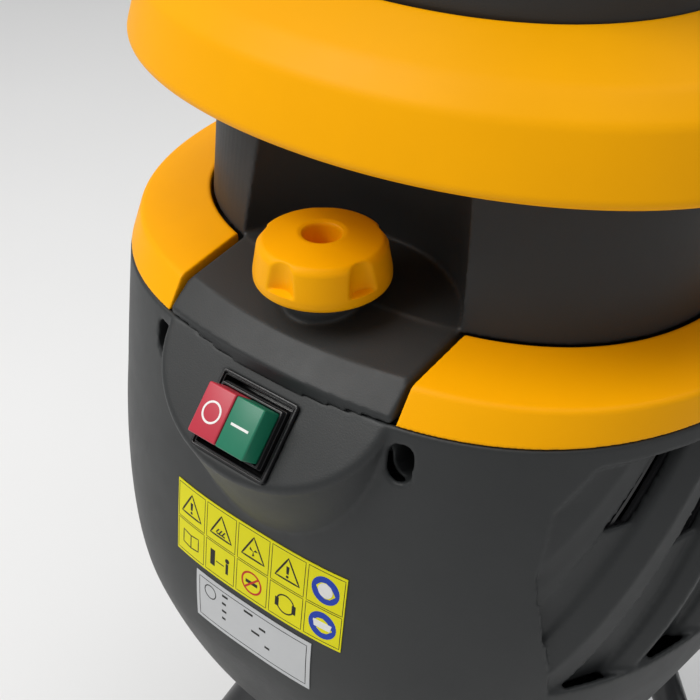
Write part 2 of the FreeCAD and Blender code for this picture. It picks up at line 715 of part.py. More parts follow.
def duct_block(grow, low, high):
    """The inside of the discharge duct, grown sideways, between two heights."""
    return slab((-DUCT["half"] - grow, DUCT["front"] - grow, low),
                (DUCT["half"] + grow, DUCT["rear"] + grow, high))


def build_bowl():
    """The plate that closes the housing, with the round blade well hanging from it."""
    thick = 4
    plate = loft([(-SLACK - thick,) + HOUSING[0][1:], (-SLACK,) + HOUSING[0][1:]], MIDDLE, POWER,
                 WALL + SLACK)
    plate = plate.common(slab((-300, 4, -20), (300, 500, 20)))
    radius = float(S.bowl_radius)
    axis = Vector(0, SHAFT_Y, FLOOR - WALL)
    drum = Part.makeCylinder(radius + WALL, -SLACK - FLOOR + WALL, axis, UP)
    boss = Part.makeCylinder(14, 22, Vector(0, KNOB_Y, -SLACK - 22), UP)
    well = Part.makeCylinder(radius, 60, Vector(0, SHAFT_Y, FLOOR), UP)
    shaft_hole = Part.makeCylinder(float(S.shaft_radius) + 1.5, 20, Vector(0, SHAFT_Y, FLOOR - 10), UP)
    insert_hole = Part.makeCylinder(float(S.insert_radius), 40, Vector(0, KNOB_Y, -30), UP)
    solid = plate.fuse(drum).fuse(boss).cut(well).cut(shaft_hole).cut(insert_hole)
    return solid.cut(duct_block(0, FLOOR - 10, FLOOR + 10))


node(feature("bowl_shape", build_bowl()), "chamber_bowl")
chute_length = 264
duct_outer = box("duct_outer", (DUCT["half"] * 2 + 6, DUCT["rear"] - DUCT["front"] + 6, chute_length),
                 (-DUCT["half"] - 3, DUCT["front"] - 3, FLOOR - WALL - chute_length))
duct_inner = box("duct_inner", (DUCT["half"] * 2, DUCT["rear"] - DUCT["front"], chute_length + 20),
                 (-DUCT["half"], DUCT["front"], FLOOR - WALL - chute_length - 10))
node(cut("duct_shape", duct_outer, duct_inner), "discharge_chute")

SHAFT = (0, SHAFT_Y)
UNDER = FLOOR - WALL
BELT = float(S.belt_plane)
HALF_PULLEY = float(S.pulley_width) / 2

bearing_body = fuse("bearing_body",
                    cylinder("bearing_flange", 38, 7, (*SHAFT, UNDER - 7)),
                    cylinder("bearing_tube", 21, 49, (*SHAFT, UNDER - 49)))
bearing_bores = fuse("bearing_bores",
                     cylinder("upper_bore", S.bearing_radius, 30, (*SHAFT, UNDER - 18)),
                     cylinder("middle_bore", S.bearing_radius - 1.5, 60, (*SHAFT, UNDER - 55)),
                     cylinder("lower_bore", S.bearing_radius, 20, (*SHAFT, UNDER - 58)))
node(cut("bearing_housing_shape", bearing_body, bearing_bores), "bearing_housing")
node(group("shaft_bearing_pair", [
    ring(f"shaft_bearing_{i}", S.bearing_radius, S.shaft_radius + S.running_gap, S.bearing_width,
         (*SHAFT, z)) for i, z in enumerate((UNDER - 18, UNDER - 49))]), "shaft_bearings")

DISC_LOW = -float(S.disc_height)
BLADE_X = 72
BLADE_THICK = 3.5
disc_plate = cylinder("disc_plate", S.disc_radius, S.disc_plate, (*SHAFT, DISC_LOW))
disc_windows = [box(f"disc_window_{i}", (58, 9, 20),
                    (side * BLADE_X - 29, SHAFT_Y + side * 17 - 4.5, DISC_LOW - 5))
                for i, side in enumerate((-1, 1))]
disc_bore = cylinder("disc_bore", 4, 20, (*SHAFT, DISC_LOW - 5))
disc_cuts = fuse("disc_cuts", disc_bore, *disc_windows)
node(cut("disc_shape", disc_plate, disc_cuts), "blade_disc")
DISC_TOP = DISC_LOW + float(S.disc_plate)
node(group("blade_pair", [
    box(f"blade_plate_{i}", (60, 24, BLADE_THICK), (side * BLADE_X - 30, SHAFT_Y - 12, DISC_TOP))
    for i, side in enumerate((-1, 1))]), "cutting_blades")
node(group("blade_screw_set", [
    cylinder(f"blade_screw_{i}", 5, 2.6, (side * BLADE_X + offset, SHAFT_Y, DISC_TOP + BLADE_THICK))
    for i, (side, offset) in enumerate(((-1, -15), (-1, 15), (1, -15), (1, 15)))]), "blade_screws")
node(fuse("disc_bolt_shape",
          cylinder("disc_bolt_washer", 16, 3, (*SHAFT, DISC_TOP)),
          cylinder("disc_bolt_head", 7.5, 6, (*SHAFT, DISC_TOP + 3)),
          cylinder("disc_bolt_shank", 4, 22, (*SHAFT, DISC_TOP - 18))), "disc_bolt")
shaft_low = BELT - HALF_PULLEY - 2.5
node(turned("blade_shaft", [
    (0, 0), (S.shaft_radius, 0), (S.shaft_radius, DISC_LOW - 4 - shaft_low),
    (20, DISC_LOW - 4 - shaft_low), (20, DISC_LOW - shaft_low), (4, DISC_LOW - shaft_low),
    (4, DISC_LOW - 14 - shaft_low), (0, DISC_LOW - 14 - shaft_low)],
    (*SHAFT, shaft_low)), "blade_shaft")


def pulley(label, radius, bore, y):
    """A grooved belt pulley standing on the belt plane."""
    width = float(S.pulley_width)
    profile = [(bore, 0), (radius - 1, 0)]
    grooves = 5
    step = (width - 3) / grooves
    for i in range(grooves):
        low = 1.5 + i * step
        profile += [(radius, low), (radius - 1.2, low + step / 2)]
    profile += [(radius, width - 1.5), (radius - 1, width), (bore, width)]
    return node(turned(label, profile, (0, y, BELT - HALF_PULLEY)), label)


pulley("driven_pulley", S.driven_pulley_radius, S.shaft_radius, SHAFT_Y)
pulley("motor_pulley", S.motor_pulley_radius, S.motor_shaft_radius, float(S.motor_y))


def belt_loop(gap):
    """The closed line of a belt round both pulleys, gap away from them."""
    far = float(S.driven_pulley_radius) + gap
    near = float(S.motor_pulley_radius) + gap
    centre = SHAFT_Y - float(S.motor_y)
    lean = math.asin((far - near) / centre)
    across, along = math.cos(lean), math.sin(lean)

    def touch(y, radius, side):
        """Where the straight run leaves the pulley at y."""
        return Vector(side * radius * across, y - radius * along, 0)

    y_near = float(S.motor_y)
    a, b = touch(SHAFT_Y, far, 1), touch(SHAFT_Y, far, -1)
    c, e = touch(y_near, near, -1), touch(y_near, near, 1)
    return Part.Wire([
        Part.Arc(a, Vector(0, SHAFT_Y + far, 0), b).toShape(), Part.makeLine(b, c),
        Part.Arc(c, Vector(0, y_near - near, 0), e).toShape(), Part.makeLine(e, a)])


belt_width = Vector(0, 0, float(S.pulley_width) - 4)
belt = Part.Face(belt_loop(SLACK + float(S.belt_thick))).extrude(belt_width)
belt = belt.cut(Part.Face(belt_loop(SLACK)).extrude(belt_width))
belt.translate(Vector(0, 0, BELT - HALF_PULLEY + 2))
node(feature("belt_shape", belt), "drive_belt")

# ---------------------------------------------------------------- motor

MOTOR = (0, float(S.motor_y))
PLATE_LOW = BELT - HALF_PULLEY - 9.5
posts = [(side * 65, y) for side in (-1, 1) for y in (50, 205)]
node(group("post_set", [cylinder(f"post_{i}", 6, UNDER - PLATE_LOW - 4, (x, y, PLATE_LOW + 4))
                        for i, (x, y) in enumerate(posts)]), "mount_posts")
node(cut("motor_plate_shape", box("motor_plate_blank", (156, 176, 4), (-78, 36, PLATE_LOW)),
         cylinder("motor_plate_hole", 9, 20, (*MOTOR, PLATE_LOW - 8))), "motor_plate")
STATOR_HIGH = PLATE_LOW - 28
STATOR_LONG = 60
STATOR_LOW = STATOR_HIGH - STATOR_LONG
MOTOR_LOW = PLATE_LOW - 122
node(ring("stator", S.motor_radius, S.stator_bore, STATOR_LONG, (*MOTOR, STATOR_LOW)), "motor_stator")
node(group("winding_pair", [ring(f"winding_{i}", S.motor_radius - 4, S.stator_bore + 1, 9, (*MOTOR, z))
                            for i, z in enumerate((STATOR_HIGH, STATOR_LOW - 9))]), "field_windings")


def bell(name, plate_low, wall_low, wall_long):
    """An end bell: a cup that holds one end of the stator and seats a bearing."""
    solid = fuse(name + "_solid",
                 ring(name + "_wall", S.motor_radius + 4, S.motor_radius, wall_long, (*MOTOR, wall_low)),
                 cylinder(name + "_plate", S.motor_radius + 4, S.motor_bearing_width, (*MOTOR, plate_low)))
    return cut(name, solid, cylinder(name + "_seat", S.motor_bearing_radius, 20, (*MOTOR, plate_low - 5)))


top_plate = PLATE_LOW - float(S.motor_bearing_width)
node(bell("top_bell", top_plate, PLATE_LOW - 36, 36), "motor_top_bell")
bottom_bell = bell("bottom_bell", MOTOR_LOW, MOTOR_LOW, 42)
brush_z = MOTOR_LOW + 10
guides = [box(f"brush_guide_{i}", (28, 12, 12), (-14 + side * 33, MOTOR[1] - 6, brush_z))
          for i, side in enumerate((-1, 1))]
slots = box("brush_slots", (120, 8.4, 8.4), (-60, MOTOR[1] - 4.2, brush_z + 1.8))
guided = cut("brush_guides", fuse("brush_guide_pair", *guides), slots)
node(fuse("bottom_bell_shape", bottom_bell, guided), "motor_bottom_bell")
node(group("brush_pair", [box(f"brush_{i}", (20, 8, 8), (-10 + side * 23.4, MOTOR[1] - 4, brush_z + 2))
                          for i, side in enumerate((-1, 1))]), "carbon_brushes")
node(group("motor_bearing_pair", [
    ring(f"motor_bearing_{i}", S.motor_bearing_radius, S.motor_shaft_radius + S.running_gap,
         S.motor_bearing_width, (*MOTOR, z)) for i, z in enumerate((top_plate, MOTOR_LOW))]),
    "motor_bearings")
rotor_low = MOTOR_LOW - 4
node(fuse("armature_shape",
          cylinder("rotor_shaft", S.motor_shaft_radius, BELT + HALF_PULLEY + 2 - rotor_low,
                   (*MOTOR, rotor_low)),
          cylinder("rotor_core", S.armature_radius, STATOR_LONG - 4, (*MOTOR, STATOR_LOW + 2)),
          cylinder("rotor_windings", 20, STATOR_LONG + 14, (*MOTOR, STATOR_LOW - 7)),
          cylinder("commutator", 13, 18, (*MOTOR, MOTOR_LOW + 8))), "motor_armature")
fan_low = STATOR_HIGH + 11
fan_blades = [box(f"fan_blade_{i}", (30, 2, 6), (9, -1, 0)) for i in range(8)]
for i, vane in enumerate(fan_blades):
    vane.Placement = Placement(Vector(*MOTOR, fan_low + 1.5), Rotation(UP, 45 * i)).multiply(vane.Placement)
fan_disc = ring("fan_disc", 40, S.motor_shaft_radius, 2, (*MOTOR, fan_low))
fan_hub = ring("fan_hub", 11, S.motor_shaft_radius, 7.5, (*MOTOR, fan_low))
node(fuse("fan_shape", fan_disc, fan_hub, *fan_blades), "motor_fan")

# ---------------------------------------------------------------- bottom cover and stand

BASE = -DEPTH
LEG_X = float(S.leg_x)
LEG_PLACES = [(side * LEG_X, float(y)) for side in (-1, 1) for y in (S.front_leg_y, S.rear_leg_y)]
TUBE = float(S.tube_radius)
GROUND = -float(S.seam_height)
AXLE_Z = GROUND + float(S.wheel_radius)
BOLT_Z = BASE + 20


def bolt_bores(radius):
    """Bores for the bolts that cross the leg sockets."""
    bars = [Part.makeCylinder(radius, 60, Vector(x, y - 30, BOLT_Z), REAR) for x, y in LEG_PLACES]
    return bars[0].multiFuse(bars[1:])


def build_cover():
    """The floor of the housing with four leg sockets and cooling slits."""
    end = HOUSING[-1][1:]
    plate = loft([(BASE - 4,) + end, (BASE - SLACK,) + end], MIDDLE, POWER)
    sockets = [Part.makeCylinder(TUBE + 4.3, 42, Vector(x, y, BASE - 4), UP) for x, y in LEG_PLACES]
    bores = [Part.makeCylinder(TUBE + 0.1, 60, Vector(x, y, BASE - 10), UP) for x, y in LEG_PLACES]
    slits = [slab((-40, y, BASE - 10), (40, y + 5, BASE + 5)) for y in range(95, 200, 15)]
    solid = plate.multiFuse(sockets).cut(bores[0].multiFuse(bores[1:] + slits))
    return solid.cut(bolt_bores(3.1)).cut(duct_block(WALL + SLACK, BASE - 20, BASE + 20))


node(feature("cover_shape", build_cover()), "bottom_cover")


def tube(points, radius, bends):
    """A round bar along straight runs joined by tangent arcs."""
    edges = []
    start = points[0]
    for before, corner, after, bend in zip(points[:-2], points[1:-1], points[2:], bends):
        inward = before.sub(corner).normalize()
        outward = after.sub(corner).normalize()
        half = inward.getAngle(outward) / 2
        reach = bend / math.tan(half)
        first = corner.add(inward * reach)
        last = corner.add(outward * reach)
        middle_line = inward.add(outward).normalize()
        centre = corner.add(middle_line * (bend / math.sin(half)))
        top = centre.sub(middle_line * bend)
        edges.append(Part.makeLine(start, first))
        edges.append(Part.Arc(first, top, last).toShape())
        start = last
    edges.append(Part.makeLine(start, points[-1]))
    path = Part.Wire(edges)
    heading = points[1].sub(points[0])
    circle = Part.Wire([Part.makeCircle(radius, points[0], heading)])
    return path.makePipeShell([circle], True, False)


def hollow_tube(points, bends):
    """A bent steel tube of the stand."""
    return tube(points, TUBE, bends).cut(tube(points, float(S.tube_bore), bends))


LEG_TOP = BASE + 38
foot_z = GROUND + float(S.foot_height)
foot_y = float(S.foot_y)
FOOT_X = 165
front_path = [Vector(-LEG_X, float(S.front_leg_y), LEG_TOP),
              Vector(-LEG_X, float(S.front_leg_y), BASE - 30),
              Vector(-FOOT_X, foot_y, foot_z), Vector(FOOT_X, foot_y, foot_z),
              Vector(LEG_X, float(S.front_leg_y), BASE - 30),
              Vector(LEG_X, float(S.front_leg_y), LEG_TOP)]
front_frame = hollow_tube(front_path, [60, 55, 55, 60]).cut(bolt_bores(3.1))
node(feature("front_frame_shape", front_frame), "front_leg_frame")

axle_y = float(S.axle_y)
knee = Vector(LEG_X, float(S.rear_leg_y), BASE - 20)
ankle = Vector(150, axle_y, AXLE_Z - 16)
rear_leg = hollow_tube([Vector(LEG_X, float(S.rear_leg_y), LEG_TOP), knee, ankle], [60])
at_brace = knee.add(ankle.sub(knee) * 0.55)
brace = Part.makeCylinder(8, 2 * at_brace.x, Vector(-at_brace.x, at_brace.y, at_brace.z), RIGHT)
axle_bore = Part.makeCylinder(float(S.axle_radius), 500, Vector(-250, axle_y, AXLE_Z), RIGHT)
inside = tube([Vector(LEG_X, float(S.rear_leg_y), LEG_TOP), knee, ankle], float(S.tube_bore), [60])
rear_frame = brace.cut(inside).cut(mirrored(inside)).fuse(rear_leg).fuse(mirrored(rear_leg))
node(feature("rear_frame_shape", rim_of(rear_frame.cut(axle_bore).cut(bolt_bores(3.1)))), "rear_leg_frame")

node(group("leg_bolt_set", [
    fuse(f"leg_bolt_{i}",
         cylinder(f"leg_bolt_shank_{i}", 3, 38, (x, y - 19, BOLT_Z), REAR),
         cylinder(f"leg_bolt_head_{i}", 5.5, 4, (x, y - 21.5, BOLT_Z), REAR),
         cylinder(f"leg_bolt_nut_{i}", 5.5, 4, (x, y + 17.5, BOLT_Z), REAR))
    for i, (x, y) in enumerate(LEG_PLACES)]), "leg_bolts")
FOOT_LONG = 34
node(group("foot_set", [
    cut(f"foot_{i}",
        fuse(f"foot_outer_{i}",
             cylinder(f"foot_round_{i}", S.foot_radius, FOOT_LONG, (x, S.foot_y, foot_z), RIGHT),
             box(f"foot_pad_{i}", (FOOT_LONG, 22, S.foot_height), (x, foot_y - 11, GROUND))),
        cylinder(f"foot_bore_{i}", S.tube_radius, FOOT_LONG, (x, S.foot_y, foot_z), RIGHT))
    for i, x in enumerate((-85 - FOOT_LONG / 2, 85 - FOOT_LONG / 2))]), "rubber_feet")
half_track = float(S.track) / 2
wheel_half = float(S.wheel_width) / 2
axle_reach = half_track + wheel_half + 2
node(cylinder("axle_rod", S.axle_radius, 2 * axle_reach, (-axle_reach, S.axle_y, AXLE_Z), RIGHT),
     "wheel_axle")
for side, word in ((-1, "left"), (1, "right")):
    inner = side * half_track - wheel_half
    width = S.wheel_width
    hub = S.hub_radius
    node(turned(f"{word}_tyre", [
        (hub, 0), (S.wheel_radius - 3, 0), (S.wheel_radius, 4), (S.wheel_radius, width - 4),
        (S.wheel_radius - 3, width), (hub, width)], (inner, S.axle_y, AXLE_Z), RIGHT), f"{word}_tyre")
    bore = S.axle_radius + S.running_gap
    hub_body = turned(f"{word}_hub", [
        (bore, 0), (14, 0), (14, 10), (hub - 6, 10), (hub - 6, 2), (hub, 2), (hub, width - 2),
        (hub - 6, width - 2), (hub - 6, width - 10), (14, width - 10), (14, width), (bore, width)],
        (inner, S.axle_y, AXLE_Z), RIGHT)
    node(hub_body, f"{word}_hub")
cap_start = half_track + wheel_half + 0.5
node(group("axle_cap_pair", [
    ring(f"axle_cap_{i}", 9, S.axle_radius, 4, (side * (cap_start + 2) - 2, S.axle_y, AXLE_Z), RIGHT)
    for i, side in enumerate((-1, 1))]), "axle_caps")

# ---------------------------------------------------------------- hinge

HINGE = (float(S.hinge_y), float(S.hinge_z))
ear_places = (-54, -28, 20, 46)


def build_hinge_block():
    """The rear bracket with four ears for the hinge pin."""
    solid = slab((-61.4, 288.3, 0), (61.4, 346, HINGE[1] - 14))
    for x in ear_places:
        post = slab((x, HINGE[0] - 8, 0), (x + 8, HINGE[0] + 8, HINGE[1]))
        solid = solid.fuse(post.fuse(Part.makeCylinder(8, 8, Vector(x, *HINGE), RIGHT)))
    return solid.cut(Part.makeCylinder(float(S.hinge_pin_radius), 140, Vector(-70, *HINGE), RIGHT))


node(feature("hinge_block_shape", build_hinge_block()), "hinge_block")
node(cylinder("hinge_rod", S.hinge_pin_radius, 114, (-57, *HINGE), RIGHT), "hinge_pin")

# ---------------------------------------------------------------- checks and export

doc.recompute()
for obj in doc.Objects:
    if "Invalid" in obj.State or "Error" in obj.State:
        raise RuntimeError(f"{obj.Label} failed to compute: {obj.State}")
for part in NODES:
    if part.Shape.isNull() or not part.Shape.isValid():
        raise RuntimeError(f"{part.Label} has no valid shape")

os.makedirs("parts", exist_ok=True)
for part in NODES:
    part.Shape.exportStep(os.path.join("parts", part.Label + ".step"))
print(f"{len(NODES)} sub-parts written")
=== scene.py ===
import json
import math

import bmesh
import bpy
from mathutils import Matrix, Vector


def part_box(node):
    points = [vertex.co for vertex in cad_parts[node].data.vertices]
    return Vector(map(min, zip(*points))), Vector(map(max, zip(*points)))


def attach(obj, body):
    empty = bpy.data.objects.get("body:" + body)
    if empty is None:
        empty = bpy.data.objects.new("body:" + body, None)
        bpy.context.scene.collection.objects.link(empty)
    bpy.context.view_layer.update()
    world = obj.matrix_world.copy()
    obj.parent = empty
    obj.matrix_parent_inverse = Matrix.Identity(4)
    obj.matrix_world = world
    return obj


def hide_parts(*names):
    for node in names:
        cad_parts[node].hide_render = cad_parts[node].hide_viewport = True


# Electric garden shredder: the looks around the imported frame.
#
# Shapes are worked out in millimetres in the seam frame (X right, Y rear, Z up, zero on the
# front edge of the seam between housing and hopper). SEAM turns that into the row frame.

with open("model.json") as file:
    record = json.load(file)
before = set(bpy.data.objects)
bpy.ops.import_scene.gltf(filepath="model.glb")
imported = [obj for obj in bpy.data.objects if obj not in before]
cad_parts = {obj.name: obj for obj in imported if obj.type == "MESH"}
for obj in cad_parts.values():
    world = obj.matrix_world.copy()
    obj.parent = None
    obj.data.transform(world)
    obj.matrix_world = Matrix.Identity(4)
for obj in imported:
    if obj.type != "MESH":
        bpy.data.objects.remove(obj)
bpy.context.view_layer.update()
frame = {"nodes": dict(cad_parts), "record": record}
scene = bpy.context.scene

MM = 0.001
SEAM_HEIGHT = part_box("motor_housing")[1].z
STAND_MIDDLE = 0.158
SEAM = Matrix.Translation((0, -STAND_MIDDLE, SEAM_HEIGHT)) @ Matrix.Scale(MM, 4)

# ---------------------------------------------------------------- camera and light

CAMERA_PLACE = (0.29865, -0.46427, 0.87609)
CAMERA_TURN = (54.247, 0.0, 39.591)
LENS = 60.17
SENSOR = 36.0


def make_camera():
    data = bpy.data.cameras.new("camera")
    data.lens = LENS
    data.sensor_width = SENSOR
    data.clip_start = 0.01
    data.clip_end = 60
    camera = bpy.data.objects.new("camera", data)
    camera.location = CAMERA_PLACE
    camera.rotation_euler = [math.radians(turn) for turn in CAMERA_TURN]
    scene.collection.objects.link(camera)
    scene.camera = camera


def area_light(name, place, target, size, power, colour=(1, 1, 1)):
    """A square soft box at place that faces target."""
    data = bpy.data.lights.new(name, "AREA")
    data.shape = "SQUARE"
    data.size = size
    data.energy = power
    data.color = colour
    light = bpy.data.objects.new(name, data)
    light.location = place
    light.rotation_euler = (Vector(target) - Vector(place)).to_track_quat("-Z", "Y").to_euler()
    scene.collection.objects.link(light)


def make_light():
    world = bpy.data.worlds.new("studio")
    scene.world = world
    world.use_nodes = True
    world.node_tree.nodes["Background"].inputs["Color"].default_value = (0.98, 0.99, 1.0, 1)
    world.node_tree.nodes["Background"].inputs["Strength"].default_value = 0.36
    scene.view_settings.view_transform = "Standard"
    scene.view_settings.look = "None"
    area_light("key", (-1.1, -1.3, 2.5), (0, 0, 0.55), 1.3, 42, (1.0, 0.985, 0.96))
    area_light("top", (0.0, 0.3, 3.0), (0, 0, 0.6), 2.2, 40)
    area_light("side", (1.9, -0.4, 1.3), (0, 0, 0.5), 1.2, 1.0)


make_camera()
make_light()

# ---------------------------------------------------------------- materials


class Look:
    """A procedural material, with short ways to add and join its nodes."""

    def __init__(self, name):
        self.material = bpy.data.materials.new(name)
        self.material.use_nodes = True
        self.tree = self.material.node_tree
        self.shader = self.tree.nodes["Principled BSDF"]

    def join(self, output, target):
        self.tree.links.new(output, target)

    def drive(self, setting, output):
        self.join(output, self.shader.inputs[setting])

    def add(self, kind, **values):
        made = self.tree.nodes.new(kind)
        for key, value in values.items():
            made.inputs[key].default_value = value
        return made

    def place(self, stretch):
        """The point on the piece, in metres, scaled along each axis."""
        mapping = self.add("ShaderNodeMapping", Scale=stretch)
        self.join(self.add("ShaderNodeTexCoord").outputs["Object"], mapping.inputs["Vector"])
        return mapping.outputs["Vector"]

    def noise(self, scale, detail=2.0, stretch=(1, 1, 1)):
        made = self.add("ShaderNodeTexNoise", Scale=scale, Detail=detail, Roughness=0.6)
        self.join(self.place(stretch), made.inputs["Vector"])
        return made.outputs["Fac"]

    def cells(self, scale):
        made = self.add("ShaderNodeTexVoronoi", Scale=scale)
        self.join(self.place((1, 1, 1)), made.inputs["Vector"])
        return made.outputs["Distance"]

    def bands(self, scale, axis):
        made = self.add("ShaderNodeTexWave", Scale=scale, Distortion=0.3)
        made.bands_direction = axis
        self.join(self.place((1, 1, 1)), made.inputs["Vector"])
        return made.outputs["Fac"]

    def spread(self, value, low, high, start=0.0, end=1.0):
        made = self.add("ShaderNodeMapRange")
        made.inputs["From Min"].default_value = start
        made.inputs["From Max"].default_value = end
        made.inputs["To Min"].default_value = low
        made.inputs["To Max"].default_value = high
        self.join(value, made.inputs["Value"])
        return made.outputs["Result"]

    def mixed(self, factor, first, second):
        """A colour between two; first may be a colour or the output of a node."""
        made = self.tree.nodes.new("ShaderNodeMix")
        made.data_type = "RGBA"
        self.join(factor, made.inputs["Factor"])
        for socket, colour in ((made.inputs[6], first), (made.inputs[7], second)):
            if isinstance(colour, tuple):
                socket.default_value = (*colour, 1)
            else:
                self.join(colour, socket)
        return made.outputs[2]

    def relief(self, height, distance, strength, under=None):
        made = self.add("ShaderNodeBump", Strength=strength, Distance=distance)
        self.join(height, made.inputs["Height"])
        if under is not None:
            self.join(under, made.inputs["Normal"])
        return made.outputs["Normal"]


def shaded(colour, factor):
    return tuple(min(1.0, channel * factor) for channel in colour)


def moulded(name, colour, rough, grain=1500.0, depth=0.00012, mottle=0.07, worn=0.5,
            specular=0.5):
    """Moulded plastic: spark-eroded grain, faint flow marks and polished edges."""
    look = Look(name)
    flow = look.noise(11, 4)
    base = look.mixed(look.spread(flow, 0, 1, 0.3, 0.7), shaded(colour, 1 - mottle),
                      shaded(colour, 1 + mottle))
    pointed = look.add("ShaderNodeNewGeometry").outputs["Pointiness"]
    edge = look.spread(pointed, 0, worn, 0.515, 0.58)
    look.drive("Base Color", look.mixed(edge, base, shaded(colour, 1.35)))
    fine = look.noise(grain, 3)
    look.drive("Roughness", look.spread(look.noise(70, 3), rough - 0.05, rough + 0.06))
    wide = look.relief(look.noise(38, 1), 0.0004, 0.05)
    look.drive("Normal", look.relief(fine, depth, 0.55, wide))
    look.shader.inputs["Specular IOR Level"].default_value = specular
    return look.material


def metal(name, colour, rough, stretch=(1, 1, 1), grain=900.0, depth=0.00005, mottle=0.12):
    """Bare metal with drawn or cast grain and slight tarnish."""
    look = Look(name)
    cloud = look.noise(26, 4)
    clouded = look.spread(cloud, 0, 1, 0.35, 0.7)
    look.drive("Base Color", look.mixed(clouded, shaded(colour, 1 - mottle), colour))
    fine = look.noise(grain, 3, stretch)
    look.drive("Roughness", look.spread(fine, rough - 0.1, rough + 0.1))
    look.drive("Normal", look.relief(fine, depth, 0.6))
    look.shader.inputs["Metallic"].default_value = 1.0
    return look.material


def layered(name, dark, light, rough, scale, axis, depth, metallic=0.0):
    """Thin layers: stacked sheet laminations or wound wire."""
    look = Look(name)
    wave = look.bands(scale, axis)
    look.drive("Base Color", look.mixed(wave, dark, light))
    look.drive("Roughness", look.spread(look.noise(160, 2), rough - 0.08, rough + 0.08))
    look.drive("Normal", look.relief(wave, depth, 0.8))
    look.shader.inputs["Metallic"].default_value = metallic
    return look.material


def painted(name, colour, rough):
    """Powder-coated steel: orange peel under a thin gloss."""
    look = Look(name)
    cloud = look.noise(20, 3)
    look.drive("Base Color", look.mixed(cloud, shaded(colour, 0.85), shaded(colour, 1.2)))
    look.drive("Roughness", look.spread(look.noise(90, 2), rough - 0.06, rough + 0.08))
    look.drive("Normal", look.relief(look.cells(700), 0.00008, 0.5))
    look.shader.inputs["Coat Weight"].default_value = 0.15
    return look.material


def printed_film(name, colour, rough):
    """Vinyl label stock with a faint ripple."""
    look = Look(name)
    cloud = look.noise(45, 3)
    look.drive("Base Color", look.mixed(cloud, shaded(colour, 0.94), shaded(colour, 1.04)))
    look.drive("Roughness", look.spread(look.noise(120, 2), rough - 0.05, rough + 0.07))
    look.drive("Normal", look.relief(look.noise(60, 2), 0.0003, 0.08))
    look.shader.inputs["Specular IOR Level"].default_value = 0.2
    return look.material


DARK = (0.0245, 0.0265, 0.0272)
YELLOW = (0.98, 0.425, 0.0)
LOOKS = {
    "housing_plastic": moulded("housing_plastic_look", DARK, 0.5, grain=1300, depth=0.00016,
                              specular=0.4),
    "yellow_plastic": moulded("yellow_plastic_look", YELLOW, 0.42, grain=1900, depth=0.00005,
                              mottle=0.03, worn=0.0, specular=0.1),
    "black_plastic": moulded("black_plastic_look", (0.011, 0.011, 0.012), 0.3, grain=1700,
                             depth=0.00004),
    "red_plastic": moulded("red_plastic_look", (0.50, 0.03, 0.055), 0.36, grain=2100,
                           depth=0.00003, mottle=0.04, worn=0.2),
    "green_plastic": moulded("green_plastic_look", (0.010, 0.18, 0.10), 0.36, grain=2100,
                             depth=0.00003, mottle=0.04, worn=0.2),
    "white_plastic": moulded("white_plastic_look", (0.82, 0.82, 0.80), 0.4, grain=2100,
                             depth=0.00003, mottle=0.03, worn=0.1),
    "hub_plastic": moulded("hub_plastic_look", (0.060, 0.063, 0.066), 0.42, grain=1500,
                           depth=0.0001),
    "rubber": moulded("rubber_look", (0.018, 0.018, 0.019), 0.68, grain=800, depth=0.0002,
                      mottle=0.2),
    "tyre": moulded("tyre_look", (0.020, 0.020, 0.021), 0.78, grain=600, depth=0.0003,
                    mottle=0.25, worn=0.8),
    "carbon": moulded("carbon_look", (0.03, 0.03, 0.032), 0.6, grain=700, depth=0.0002),
    "label_yellow": printed_film("label_yellow_look", (0.80, 0.74, 0.0), 0.45),
    "label_grey": printed_film("label_grey_look", (0.56, 0.57, 0.58), 0.32),
    "steel": metal("steel_look", (0.60, 0.60, 0.61), 0.32, (1, 1, 9)),
    "cast_aluminium": metal("cast_aluminium_look", (0.62, 0.63, 0.65), 0.5, grain=420,
                            depth=0.0002),
    "brass": metal("brass_look", (0.74, 0.52, 0.22), 0.35),
    "copper": layered("copper_look", (0.32, 0.10, 0.035), (0.72, 0.30, 0.13), 0.4, 520, "Z",
                      0.0003, 0.8),
    "lamination_steel": layered("lamination_look", (0.16, 0.17, 0.18), (0.36, 0.37, 0.38), 0.45,
                                480, "Z", 0.0001, 0.9),
    "frame_paint": painted("frame_paint_look", (0.022, 0.023, 0.025), 0.36),
}
INKS = {
    "black": printed_film("ink_black_look", (0.012, 0.012, 0.010), 0.45),
    "red": printed_film("ink_red_look", (0.55, 0.02, 0.012), 0.42),
    "blue": printed_film("ink_blue_look", (0.012, 0.05, 0.42), 0.42),
    "white": printed_film("ink_white_look", (0.8, 0.8, 0.78), 0.42),
}

SLOT_OF = {}
for part in frame["record"]["subparts"]:
    SLOT_OF[part["node"]] = part["material_slot"]
for name, node in frame["nodes"].items():
    node.data.materials.clear()
    node.data.materials.append(LOOKS[SLOT_OF[name]])

# ---------------------------------------------------------------- mesh tools

ROUND = 192


def build(name, points, faces, place=SEAM):
    """A mesh object of points in millimetres, with its faces turned outward."""
    mesh = bpy.data.meshes.new(name)
    mesh.from_pydata([place @ Vector(point) for point in points], [], faces)
    work = bmesh.new()
    work.from_mesh(mesh)
    bmesh.ops.recalc_face_normals(work, faces=work.faces)
    work.to_mesh(mesh)
    work.free()
    obj = bpy.data.objects.new(name, mesh)
    scene.collection.objects.link(obj)
    return obj


